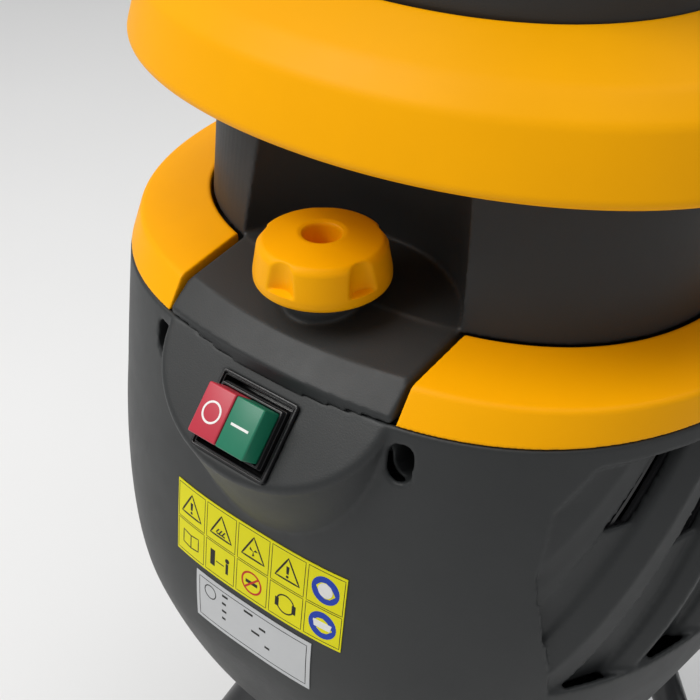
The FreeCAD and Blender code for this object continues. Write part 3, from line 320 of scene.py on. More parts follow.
def skin(rings, closed=False):
    """Points and quads between rings of equal count. An open skin gets a cap at both ends."""
    points = [point for ring in rings for point in ring]
    count = len(rings[0])
    levels = len(rings) if closed else len(rings) - 1
    faces = []
    for level in range(levels):
        near = level * count
        far = (level + 1) % len(rings) * count
        for step in range(count):
            after = (step + 1) % count
            faces.append((near + step, near + after, far + after, far + step))
    if not closed:
        faces.append(tuple(range(count)))
        faces.append(tuple(range(levels * count, (levels + 1) * count)))
    return points, faces


def outline(section, count=ROUND):
    """A level superellipse of (z, half width, front, rear, middle, power)."""
    z, half, front, rear, middle, power = section
    points = []
    for step in range(count):
        angle = math.tau * step / count
        across = math.cos(angle)
        along = math.sin(angle)
        reach = (abs(across) ** power + abs(along) ** power) ** (-1 / power)
        depth = rear - middle if along > 0 else middle - front
        points.append(Vector((half * reach * across, middle + depth * reach * along, z)))
    return points


def circle(radius, z, count, centre=(0, 0)):
    return [Vector((centre[0] + radius * math.cos(math.tau * step / count),
                    centre[1] + radius * math.sin(math.tau * step / count), z))
            for step in range(count)]


def rounded(path, reach, steps=4):
    """A list of vectors or rings with every inner corner replaced by a short curve."""
    made = [path[0]]
    for before, corner, after in zip(path, path[1:], path[2:]):
        pieces = []
        for p, q, r in zip(before, corner, after):
            first = q + (p - q) * min(0.5, reach / max((p - q).length, 1e-6))
            last = q + (r - q) * min(0.5, reach / max((r - q).length, 1e-6))
            pieces.append((first, q, last))
        for step in range(steps + 1):
            t = step / steps
            made.append([a * (1 - t) ** 2 + b * 2 * t * (1 - t) + c * t ** 2 for a, b, c in pieces])
    made.append(path[-1])
    return made


def bake(obj):
    """Apply every modifier of obj."""
    graph = bpy.context.evaluated_depsgraph_get()
    before = obj.data
    obj.data = bpy.data.meshes.new_from_object(obj.evaluated_get(graph))
    obj.modifiers.clear()
    bpy.data.meshes.remove(before)
    obj.data.name = obj.name
    return obj


def combine(target, tool, operation):
    """Boolean of target with tool, which is used up."""
    change = target.modifiers.new("combine", "BOOLEAN")
    change.solver = "EXACT"
    change.operation = operation
    change.object = tool
    bake(target)
    bpy.data.objects.remove(tool)
    return target


def soften(obj, voxel, passes, share):
    """Give every edge the small radius of a moulding: remesh, relax, then thin out the mesh."""
    grid = obj.modifiers.new("grid", "REMESH")
    grid.mode = "VOXEL"
    grid.voxel_size = voxel * MM
    relax = obj.modifiers.new("relax", "SMOOTH")
    relax.factor = 0.5
    relax.iterations = passes
    thin = obj.modifiers.new("thin", "DECIMATE")
    thin.ratio = share
    bake(obj)
    return obj


def prism(name, corners, axis_low, axis_high, axis=0):
    """A bar along X (axis 0), Y (1) or Z (2) whose section is a polygon in the other two."""
    rings = []
    for level in (axis_low, axis_high):
        rings.append([Vector((*corner[:axis], level, *corner[axis:])) for corner in corners])
    return build(name, *skin(rings))


def block(name, low, high, radius, place=SEAM, segments=3):
    """A box between two corners, with rounded edges."""
    work = bmesh.new()
    bmesh.ops.create_cube(work, size=1)
    size = Vector(high) - Vector(low)
    middle = (Vector(high) + Vector(low)) / 2
    for vertex in work.verts:
        vertex.co = Vector([middle[i] + vertex.co[i] * size[i] for i in range(3)])
    bmesh.ops.bevel(work, geom=work.edges[:], offset=radius, segments=segments, profile=0.5,
                    affect="EDGES")
    for vertex in work.verts:
        vertex.co = place @ vertex.co
    mesh = bpy.data.meshes.new(name)
    bmesh.ops.recalc_face_normals(work, faces=work.faces)
    work.to_mesh(mesh)
    work.free()
    obj = bpy.data.objects.new(name, mesh)
    scene.collection.objects.link(obj)
    return obj


def joined(name, objects):
    """One object of several, each used up."""
    work = bmesh.new()
    for obj in objects:
        work.from_mesh(obj.data)
        bpy.data.objects.remove(obj)
    mesh = bpy.data.meshes.new(name)
    work.to_mesh(mesh)
    work.free()
    obj = bpy.data.objects.new(name, mesh)
    scene.collection.objects.link(obj)
    return obj


def piece(obj, body, slot, nodes=(), crease=40, look=None):
    """Finish an object: its material (the given look, else the slot's look), smooth shading with
    sharp creases, its body, and hide the nodes it stands for.
    """
    obj.data.materials.clear()
    obj.data.materials.append(look or LOOKS[slot])
    obj.data.shade_smooth()
    obj.data.set_sharp_from_angle(angle=math.radians(crease))
    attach(obj, body)
    if nodes:
        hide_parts(*nodes)
    return obj


# ---------------------------------------------------------------- clamp knob

KNOB_Y = 35.4
KNOB_BASE = 31.2
KNOB_PROFILE = [(5, 0), (30.4, 0), (32, 1.4), (32, 5.2), (29.7, 18.2), (27.6, 20.6),
                (10.9, 23.6), (8.8, 22.4), (8.8, 9), (5.2, 9)]
LOBES = 5
LOBE_TURN = -50.4
HOLLOW_CENTRE = 36.4
HOLLOW_RADIUS = 9.2
HOLLOW_FLOOR = 4.9
KNOB_STEPS = 240
NO_HOLLOW = 60.0


def hollow_reach(angle, z):
    """From the knob's axis to the finger hollow in that direction, or NO_HOLLOW between two."""
    sector = math.tau / LOBES
    recess = math.radians(LOBE_TURN) + sector / 2
    off = (angle - recess + sector / 2) % sector - sector / 2
    side = HOLLOW_CENTRE * math.sin(off)
    if abs(side) > HOLLOW_RADIUS:
        return NO_HOLLOW
    near = HOLLOW_CENTRE * math.cos(off) - math.sqrt(HOLLOW_RADIUS ** 2 - side ** 2)
    rise = min(1.0, max(0.0, (z - HOLLOW_FLOOR) / 1.7))
    return near + 14 * (1 - rise * rise * (3 - 2 * rise))


def make_knob():
    path = rounded([[Vector((radius, 0, z))] for radius, z in KNOB_PROFILE], 1.3, 4)
    fine = [path[0][0]]
    for start, end in zip(path, path[1:]):
        parts = max(1, int((end[0] - start[0]).length / 0.7))
        fine += [start[0].lerp(end[0], (part + 1) / parts) for part in range(parts)]
    rings = []
    soft = 0.45
    for point in fine:
        ring = []
        for step in range(KNOB_STEPS):
            angle = math.tau * step / KNOB_STEPS
            reach = hollow_reach(angle, point.z)
            radius = point.x
            if radius > 20:
                radius = -soft * math.log(math.exp(-radius / soft) + math.exp(-reach / soft))
            ring.append(Vector((radius * math.cos(angle), KNOB_Y + radius * math.sin(angle),
                                KNOB_BASE + point.z)))
        rings.append(ring)
    knob = build("knob_grip", *skin(rings, closed=True))
    piece(knob, "knob", "yellow_plastic", ["clamp_knob"], crease=60)


# ---------------------------------------------------------------- switch

PANEL_TILT = math.radians(48.1)
PANEL = SEAM @ Matrix.Translation((0, -20.1, -21.9)) @ Matrix.Rotation(PANEL_TILT, 4, "X")
PANEL_NORMAL = Vector((0, -math.sin(PANEL_TILT), math.cos(PANEL_TILT)))
BEZEL = (45.9, 38.6)
BUTTON = (16.9, 24.6)
BUTTON_TOP = 15.5
BUTTON_MIDDLE = BUTTON[0] / 2 + 0.2


def round_rectangle(width, height, radius, z, steps=6):
    points = []
    for quarter, (side_x, side_y) in enumerate(((1, 1), (-1, 1), (-1, -1), (1, -1))):
        for step in range(steps + 1):
            angle = math.pi / 2 * (quarter + step / steps)
            points.append(Vector((side_x * (width / 2 - radius) + radius * math.cos(angle),
                                  side_y * (height / 2 - radius) + radius * math.sin(angle), z)))
    return points


def frame_ring(name, outer, inner, low, high, radius):
    """A rectangular frame square to the panel, with softened top edges."""
    path = [round_rectangle(*outer, radius, low), round_rectangle(*outer, radius, high),
            round_rectangle(*inner, radius * 0.6, high), round_rectangle(*inner, radius * 0.6, low)]
    return build(name, *skin(rounded(path, 0.35, 3), closed=True), PANEL)


def make_switch():
    width, height = BEZEL
    rim = frame_ring("rim", (width, height), (width - 2.6, height - 2.6), 0.02, 1.9, 1.6)
    inside = (width - 4.8, height - 4.8)
    ledge = frame_ring("ledge", (width - 3.6, height - 3.6), inside, -0.6, 1.2, 1.0)
    floor = frame_ring("floor", (width - 1.6, height - 1.6), inside, -13, 0.5, 0.8)
    piece(joined("bezel_frame", [rim, ledge, floor]), "motor_base", "black_plastic",
          ["switch_bezel"])

    tray = (BUTTON[0] * 2 + 3.4, BUTTON[1] + 3.4)
    cavity = (BUTTON[0] * 2 + 1.2, BUTTON[1] + 0.9)
    wall = frame_ring("wall", tray, cavity, -11, 4.6, 0.9)
    lip = frame_ring("lip", (tray[0] + 1.0, tray[1] + 1.0), (tray[0] - 0.2, tray[1] - 0.2),
                     -8.4, 1.8, 0.9)
    base = block("base", (-width / 2 + 3, -height / 2 + 3, -34),
                 (width / 2 - 3, height / 2 - 3, -10.4), 0.8, PANEL)
    piece(joined("button_tray", [wall, lip, base]), "motor_base", "black_plastic", ["switch_body"])

    for side, word, slot in ((-1, "stop", "red_plastic"), (1, "start", "green_plastic")):
        middle = side * BUTTON_MIDDLE
        cap = block(f"{word}_cap", (middle - BUTTON[0] / 2, -BUTTON[1] / 2, -6),
                    (middle + BUTTON[0] / 2, BUTTON[1] / 2, BUTTON_TOP), 0.9, PANEL, 4)
        colour = "red" if word == "stop" else "green"
        piece(cap, f"{word}_button", slot, [f"{colour}_{word}_button"])
    rings = [circle(radius, BUTTON_TOP + lift, 64, (-BUTTON_MIDDLE, 0))
             for radius, lift in ((5.4, -0.1), (5.4, 0.1), (4.4, 0.1), (4.4, -0.1))]
    piece(build("stop_mark", *skin(rings, closed=True), PANEL), "stop_button", "white_plastic")
    bar = block("start_mark", (BUTTON_MIDDLE - 5.2, -0.6, BUTTON_TOP - 0.1),
                (BUTTON_MIDDLE + 5.2, 0.6, BUTTON_TOP + 0.1), 0.04, PANEL, 1)
    piece(bar, "start_button", "white_plastic")


# ---------------------------------------------------------------- hopper: collar, chute, mouth

NECK_PLAN = (165, 2.47)
COLLAR_PLAN = (137, 2.05)


def ring_piece(name, sections, reach, steps=4, count=ROUND):
    """A closed moulding through level sections, listed once round its wall."""
    rings = [outline(section, count) for section in sections]
    path = rounded(rings + [rings[0]], reach, steps)
    return build(name, *skin(path[:-1], closed=True))


def make_hopper_top():
    collar = [(120, 144.4, 66, 286.5, *NECK_PLAN), (105, 144.4, 66, 286.5, *NECK_PLAN),
              (105, 179.2, 9.6, 300.2, *COLLAR_PLAN), (108.2, 182, 6.8, 303, *COLLAR_PLAN),
              (136, 173, 15.6, 295, *COLLAR_PLAN), (146, 161, 25.5, 286, *COLLAR_PLAN),
              (159, 130, 46.5, 281, *NECK_PLAN), (160.5, 126.6, 49.4, 278.8, *NECK_PLAN)]
    piece(ring_piece("collar_ring", collar, 3.2, 5), "hopper", "yellow_plastic",
          ["hopper_collar"], crease=50)
    outer = [(118.4, 142.5, 66.5, 284.5), (161, 126, 50, 278), (190, 125, 50, 278),
             (194, 127, 48, 280), (305, 128, 47, 281), (366, 152, 20, 306),
             (372, 155.5, 17, 309), (396, 165.5, 6.2, 317.8)]
    walls = [(z, half, front, rear, *NECK_PLAN) for z, half, front, rear in outer]
    inside = [(z + (0.4 if z < 390 else 0), half - 3, front + 3, rear - 3, *NECK_PLAN)
              for z, half, front, rear in reversed(outer)]
    piece(ring_piece("chute_shell", walls + inside, 5, 4), "hopper", "housing_plastic",
          ["hopper_chute"], crease=50)
    rim = [(388, 166.5, 5.5, 318.5), (388.3, 169.8, 2.2, 321.8), (396, 170.9, 1.1, 322.9),
           (403.8, 168.5, 3.5, 320.5), (403.8, 164, 8, 316), (396.4, 161.8, 10.2, 313.8),
           (396.4, 166.5, 5.5, 318.5)]
    piece(ring_piece("mouth_bead", [(*section, *NECK_PLAN) for section in rim], 2.2, 5), "hopper",
          "yellow_plastic", ["mouth_rim"], crease=50)


# ---------------------------------------------------------------- shoulders

SEAM_PLAN = (201, 2.64)
SHOULDER_GAP = 69.2
SHOULDER_EDGE = 15.7


def make_shoulders():
    foot = outline((0.05, 184, -5.5, 351, *SEAM_PLAN), 288)
    edge = outline((SHOULDER_EDGE, 184, 5.8, 345, *SEAM_PLAN), 288)
    brim = outline((21.9, 145.4, 42.6, 287.4, *NECK_PLAN), 288)
    well = outline((0.05, 145.4, 42.6, 287.4, *NECK_PLAN), 288)
    path = rounded([foot, edge, brim, well], 2.2, 5)
    ring = build("ring", *skin(path, closed=True))
    for side, word in ((1, "right"), (-1, "left")):
        part = ring.copy()
        part.data = ring.data.copy()
        part.name = f"{word}_shoulder_cover"
        scene.collection.objects.link(part)
        region = [(SHOULDER_GAP, -60), (260, -60), (260, 420), (62, 420), (62, 240), (100, 200),
                  (100, 120), (SHOULDER_GAP, 90)]
        keep = prism("keep", [(side * x, y) for x, y in region], -5, 60, axis=2)
        combine(part, keep, "INTERSECT")
        soften(part, 0.8, 3, 0.3)
        piece(part, "motor_base", "yellow_plastic", [f"{word}_shoulder"], crease=70)
    bpy.data.objects.remove(ring)


# ---------------------------------------------------------------- hopper base: neck and tongue

ALCOVE = 73
ALCOVE_Y = 21
TONGUE = 67.2
TONGUE_BOW = 6.2


def trimmed(obj, point, normal):
    """Cut away what lies beyond a plane, and close the cut."""
    work = bmesh.new()
    work.from_mesh(obj.data)
    found = bmesh.ops.bisect_plane(work, geom=work.verts[:] + work.edges[:] + work.faces[:],
                                   plane_co=SEAM @ Vector(point), plane_no=Vector(normal),
                                   clear_outer=True)
    rim = [item for item in found["geom_cut"] if isinstance(item, bmesh.types.BMEdge)]
    bmesh.ops.contextual_create(work, geom=rim)
    bmesh.ops.recalc_face_normals(work, faces=work.faces)
    work.to_mesh(obj.data)
    work.free()


def tongue_ring(z, back, half):
    """The tongue's plan: a bowed front set back by back, straight sides and a straight rear."""
    ring = []
    for step in range(41):
        x = half * (step / 20 - 1)
        ring.append(Vector((x, back - 5.5 + TONGUE_BOW * (x / half) ** 2, z)))
    return ring + [Vector((half, 96, z)), Vector((-half, 96, z))]


def make_lip():
    """The tongue's front edge, drawn down to just above the tilted switch panel."""
    rings = []
    for step in range(-28, 29):
        x = step * 2
        front = TONGUE_BOW * (x / TONGUE) ** 2 - 5.4
        low = (front + 20.1) * math.tan(PANEL_TILT) - 21.2
        rings.append([Vector((x, front, 3)), Vector((x, front, low)),
                      Vector((x, front + 2.6, low + 2.9)), Vector((x, front + 5, 3))])
    return build("lip", *skin(rings))


def make_tongue():
    tall = 30
    lip = 4.0
    bevel = 14 / (SHOULDER_EDGE - lip)
    tongue = build("tongue", *skin([tongue_ring(0.35, 0, TONGUE), tongue_ring(lip, 0, TONGUE - 0.1),
                                    tongue_ring(tall, bevel * (tall - lip), TONGUE - 2.5)]))
    combine(tongue, make_lip(), "UNION")
    trimmed(tongue, (0, 14, SHOULDER_EDGE), (0, -6.3, 38))
    trimmed(tongue, (0, 60, 22), (0, 0, 1))
    for side in (-1, 1):
        trimmed(tongue, (side * (TONGUE - 2.9), 14, SHOULDER_EDGE), (side * 0.7, -0.11, 0.7))
    return tongue


def cylinder(name, radius, centre, low, high, axis=2, count=96):
    rings = []
    for level in (low, high):
        flat = circle(radius, 0, count, centre)
        rings.append([Vector((*point[:axis], level, *point[axis:2])) for point in flat])
    return build(name, *skin(rings))


def make_hopper_base():
    base = build("neck_body", *skin([outline((20.6, 144, 43.7, 286, *NECK_PLAN)),
                                     outline((118, 144, 64.2, 286, *NECK_PLAN))]))
    skirt = build("skirt", *skin([outline((0.35, 137, 51, 279, *NECK_PLAN)),
                                  outline((24, 137, 51, 279, *NECK_PLAN))]))
    combine(base, skirt, "UNION")
    combine(base, cylinder("alcove", ALCOVE, (0, ALCOVE_Y), 22, 105, count=160), "DIFFERENCE")
    combine(base, make_tongue(), "UNION")
    cavity = build("cavity", *skin([outline((-5, 134, 54, 276, *NECK_PLAN)),
                                    outline((22, 134, 54, 276, *NECK_PLAN)),
                                    outline((26, 141, 48, 283, *NECK_PLAN)),
                                    outline((125, 141, 68.6, 283, *NECK_PLAN))]))
    combine(cavity, cylinder("keep", ALCOVE + 3, (0, ALCOVE_Y), -8, 108), "DIFFERENCE")
    combine(base, cavity, "DIFFERENCE")
    seat = cylinder("seat", 18, (0, KNOB_Y), 16, 23)
    side_view = ((280, 22.5), (322, 22.5), (327.5, 25), (329.5, 30), (327.5, 35), (322, 37.5),
                 (280, 37.5))
    arms = [prism("arm", side_view, x - 6, x + 6) for x in (-36, 36)]
    combine(base, joined("added", [seat, *arms]), "UNION")
    pin_hole = cylinder("pin_hole", 4.1, (322, 30), -60, 60, axis=0, count=48)
    bore = cylinder("bore", 5.6, (0, KNOB_Y), -10, 50, count=48)
    combine(base, joined("bores", [pin_hole, bore]), "DIFFERENCE")
    base.name = "neck_and_tongue"
    soften(base, 1.05, 3, 0.3)
    piece(base, "hopper", "housing_plastic", ["hopper_base"], crease=70)


# ---------------------------------------------------------------- motor housing

HOUSING = [(0, 184, -5.5, 351), (-60, 190.5, -13.4, 355), (-115, 192.8, -21.4, 357.6),
           (-160, 187.2, -26.6, 355), (-190, 178, -25.8, 350), (-245, 159, -8, 340),
           (-300, 138, 22, 322)]
WALL = 3
SLOPE = 0.66
FIELD = [(44, -10), (29, -31), (22, -67), (26, -140), (268, -140), (300, -67), (306, -10)]
SLOTS = [(82, 15, -50), (127, 22, -72), (170, 22, -90), (213, 22, -104), (254, 20, -112)]
RIB_BACK = 14.2
BESIDE = (60, 260)


def section_at(z):
    """The housing's half width, front and rear at one height, on a smooth curve through HOUSING."""
    slopes = []
    for i, row in enumerate(HOUSING):
        before = HOUSING[max(i - 1, 0)]
        after = HOUSING[min(i + 1, len(HOUSING) - 1)]
        slopes.append([(a - b) / (after[0] - before[0]) for a, b in zip(after[1:], before[1:])])
    i = 0
    while i < len(HOUSING) - 2 and z < HOUSING[i + 1][0]:
        i += 1
    top, end = HOUSING[i], HOUSING[i + 1]
    span = end[0] - top[0]
    t = (z - top[0]) / span
    values = []
    for a, b, m, n in zip(top[1:], end[1:], slopes[i], slopes[i + 1]):
        values.append((2 * t ** 3 - 3 * t ** 2 + 1) * a + (t ** 3 - 2 * t ** 2 + t) * span * m
                      + (3 * t ** 2 - 2 * t ** 3) * b + (t ** 3 - t ** 2) * span * n)
    return values


def housing_ring(z, inset=0.0, count=256):
    half, front, rear = section_at(max(-300, min(0, z)))
    return outline((z, half - inset, front + inset, rear - inset, *SEAM_PLAN), count)


def side_x(y, z, inset):
    """How far to the side the housing's skin is at that depth and height, moved in by inset."""
    half, front, rear = section_at(z)
    middle, power = SEAM_PLAN
    reach = rear - middle if y > middle else middle - front
    return (half - inset) * (1 - min(1, abs((y - middle) / reach)) ** power) ** (1 / power)


def front_y(x, z, inset):
    half, front, rear = section_at(z)
    middle, power = SEAM_PLAN
    return middle - (middle - front - inset) * (1 - min(1, abs(x / half)) ** power) ** (1 / power)


def field_front(z):
    for (y_high, z_high), (y_low, z_low) in zip(FIELD, FIELD[1:4]):
        if z >= z_low:
            return y_low + (y_high - y_low) * min(1, (z - z_low) / (z_high - z_low))
    return FIELD[3][0]


def rib(side, shape, low=-143.0, high=-7.0):
    """A slanted bar of the vent: shape lists (place at the seam's height, depth below the skin)."""
    levels = 36
    rings = []
    for level in range(levels + 1):
        z = low + (high - low) * level / levels
        ring = []
        for place, inset in shape + [(shape[-1][0], RIB_BACK), (shape[0][0], RIB_BACK)]:
            y = max(field_front(z) - 3, min(308, place + SLOPE * z))
            ring.append(Vector((side * side_x(y, z, inset), y, z)))
        rings.append(ring)
    return build("rib", *skin(rings))


def vent_ribs(side):
    first = SLOTS[0][0]
    bars = [rib(side, [(40, 1.6), (first - 17, 3.2), (first - 6, 6.5), (first, 8.5)])]
    for start, width, foot in SLOTS:
        bars.append(rib(side, [(start - 0.5, 9.5), (start + width + 0.5, 10.5)], high=foot))
    for (start, width, _), (following, _, _) in zip(SLOTS, SLOTS[1:]):
        left = start + width
        wide = following - left
        bars.append(rib(side, [(left, 7.0), (left + 0.42 * wide, 1.6), (following - 0.6, 5.4),
                               (following, 7.5)]))
    last = SLOTS[-1][0] + SLOTS[-1][1]
    bars.append(rib(side, [(last, 7.0), (last + 9, 2.0), (last + 60, 1.6), (last + 130, 1.6)]))
    return bars


def boss_ring(t, inset, lift):
    """The D-shaped section of the panel boss: t runs from the panel back to the housing."""
    half, drop, fall = 67.3, 37.2, 41.5
    top_y = -0.45
    points = []
    for step in range(49):
        angle = math.pi * step / 48
        near = Vector((-(half - inset) * math.cos(angle),
                       top_y - drop * math.sin(angle) * (1 - inset / 56),
                       -fall * math.sin(angle) * (1 - inset / 56)))
        far = Vector((-(half - 1) * math.cos(angle), 3, -129 * math.sin(angle)))
        points.append(near.lerp(far, t) + PANEL_NORMAL * lift)
    return points


def stadium(x, z, radius, length, low, high):
    straight = length / 2 - radius
    corners = []
    for step in range(48):
        angle = math.tau * step / 48
        offset = straight if math.sin(angle) >= 0 else -straight
        corners.append((x + radius * math.cos(angle), z + offset + radius * math.sin(angle)))
    return prism("stadium", corners, low, high, axis=1)


def make_housing():
    heights = [0, -2] + [-6 - 6 * i for i in range(49)] + [-300]
    shell = build("housing_shell", *skin([housing_ring(z) for z in heights]))
    soft = 4.0
    rings = []
    for step in range(6):
        angle = math.pi / 2 * step / 5
        rings.append(boss_ring(0, soft * (1 - math.sin(angle)), -soft * (1 - math.cos(angle))))
    rings += [boss_ring(t, 0, -soft * (1 - t)) for t in (0.12, 0.3, 0.5, 0.75, 1.0)]
    combine(shell, build("boss", *skin(rings)), "UNION")
    face = boss_ring(0, 0, 0)
    trim = build("trim", *skin([face, [point + PANEL_NORMAL * 60 for point in face]]))
    combine(shell, trim, "DIFFERENCE")
    core = build("core", *skin([housing_ring(z, WALL) for z in [6] + heights + [-306]]))
    combine(shell, core, "DIFFERENCE")
    wells = [(side * 73.2, -17.6) for side in (-1, 1)]
    combine(shell, joined("sleeves", [stadium(x, z, 8, 24, 4, 26) for x, z in wells]), "UNION")
    opening = block("opening", (-22.5, -18.9, -50), (22.5, 18.9, 20), 0.5, PANEL, 1)
    inlet = block("inlet", (-220, 94, -255), (-120, 146, -215), 1, SEAM, 1)
    reset = cylinder("reset", 8.2, (190, -235), -220, -100, axis=0)
    fields = [prism("field", FIELD, *sorted(side * reach for reach in BESIDE)) for side in (-1, 1)]
    cuts = [stadium(x, z, 6, 20, -40, 23) for x, z in wells] + [opening, inlet, reset, *fields]
    combine(shell, joined("cuts", cuts), "DIFFERENCE")
    whole = joined("housing_casing", [shell] + vent_ribs(-1) + vent_ribs(1))
    soften(whole, 1.3, 3, 0.28)
    piece(whole, "motor_base", "housing_plastic", ["motor_housing"], crease=75)


def make_grilles():
    """The finger guard behind each vent: a thin curved screen of slanted bars. It takes the black
    plastic look instead of its housing plastic slot: painted shade for the dark vent openings.
    """
    for side, word in ((1, "right"), (-1, "left")):
        levels = 24
        near, far = 14.0, 16.2
        rings = []
        for level in range(levels + 1):
            z = -8 - 134 * level / levels
            depths = [20 + 288 * step / 40 for step in range(41)]
            ring = [Vector((side * side_x(y, z, near), y, z)) for y in depths]
            ring += [Vector((side * side_x(y, z, far), y, z)) for y in reversed(depths)]
            rings.append(ring)
        screen = build("screen", *skin(rings))
        gaps = []
        for start, width, foot in SLOTS:
            for place in (start + 0.08 * width, start + 0.56 * width):
                wide = 0.36 * width
                corners = [(place + SLOPE * foot, foot), (place + wide + SLOPE * foot, foot),
                           (place + wide - SLOPE * 12, -12), (place - SLOPE * 12, -12)]
                gaps.append(prism("gap", corners, *sorted(side * reach for reach in BESIDE)))
        combine(screen, joined("gaps", gaps), "DIFFERENCE")
        screen.name = f"{word}_vent_screen"
        # Black plastic look, darker than the housing plastic slot: painted shade inside the vents.
        piece(screen, "motor_base", "housing_plastic", [f"{word}_vent_grille"], crease=40,
              look=LOOKS["black_plastic"])


# ---------------------------------------------------------------- labels


def on_front(x, z, lift):
    return Vector((x, front_y(x, z, 0) - lift, z))


def sticker(name, x_low, x_high, z_low, z_high, slot, node):
    """A thin film on the front of the housing, with square corners."""
    columns, rows = 40, 16
    points = []
    faces = []
    for lift in (0.15, 0.5):
        for row in range(rows + 1):
            for column in range(columns + 1):
                u, v = column / columns * 2 - 1, row / rows * 2 - 1
                points.append(on_front(x_low + (x_high - x_low) * (u + 1) / 2,
                                       z_low + (z_high - z_low) * (v + 1) / 2, lift))
    layer = (columns + 1) * (rows + 1)
    for base in (0, layer):
        for row in range(rows):
            for column in range(columns):
                a = base + row * (columns + 1) + column
                faces.append((a, a + 1, a + columns + 2, a + columns + 1))
    rim = list(range(columns)) + [row * (columns + 1) + columns for row in range(rows)]
    rim += [rows * (columns + 1) + column for column in range(columns, 0, -1)]
    rim += [row * (columns + 1) for row in range(rows, 0, -1)]
    for a, b in zip(rim, rim[1:] + rim[:1]):
        faces.append((a, b, b + layer, a + layer))
    piece(build(name, points, faces), "motor_base", slot, [node])


def stroke(points, width, closed=True):
    """Outline pairs of a line of that width through flat points, split into short lengths."""
    line = []
    pairs = list(zip(points, points[1:] + points[:1])) if closed else list(zip(points, points[1:]))
    for (ax, az), (bx, bz) in pairs:
        parts = max(1, int(math.hypot(bx - ax, bz - az) / 2.5))
        line += [(ax + (bx - ax) * p / parts, az + (bz - az) * p / parts) for p in range(parts)]
    if not closed:
        line.append(points[-1])
    sides = []
    count = len(line)
    for i, (x, z) in enumerate(line):
        before = line[i - 1] if closed or i > 0 else line[i]
        after = line[(i + 1) % count] if closed or i < count - 1 else line[i]
        dx, dz = after[0] - before[0], after[1] - before[1]
        size = math.hypot(dx, dz) or 1
        px, pz = -dz / size * width / 2, dx / size * width / 2
        sides.append(((x + px, z + pz), (x - px, z - pz)))
    return sides, closed


def print_marks(name, ink, strokes, fills, slot="label_yellow", lift=0.56):
    """Thin printed lines and filled shapes that follow the label."""
    under = lift - 0.12
    skins = []
    for sides, closed in strokes:
        rings = [[on_front(*left, lift), on_front(*right, lift), on_front(*right, under),
                  on_front(*left, under)] for left, right in sides]
        skins.append(skin(rings, closed))
    for shape in fills:
        skins.append(skin([[on_front(x, z, height) for x, z in shape] for height in (under, lift)]))
    points = []
    faces = []
    for new_points, new_faces in skins:
        faces += [tuple(index + len(points) for index in face) for face in new_faces]
        points += new_points
    piece(build(name, points, faces), "motor_base", slot, look=INKS[ink])


def moved(shape, x, z):
    return [(x + px, z + pz) for px, pz in shape]


def disc(radius, count):
    return [(radius * math.cos(math.tau * i / count), radius * math.sin(math.tau * i / count))
            for i in range(count)]


LABEL_HALF = 56.5
WARNINGS = -101
DUTIES = -122.6


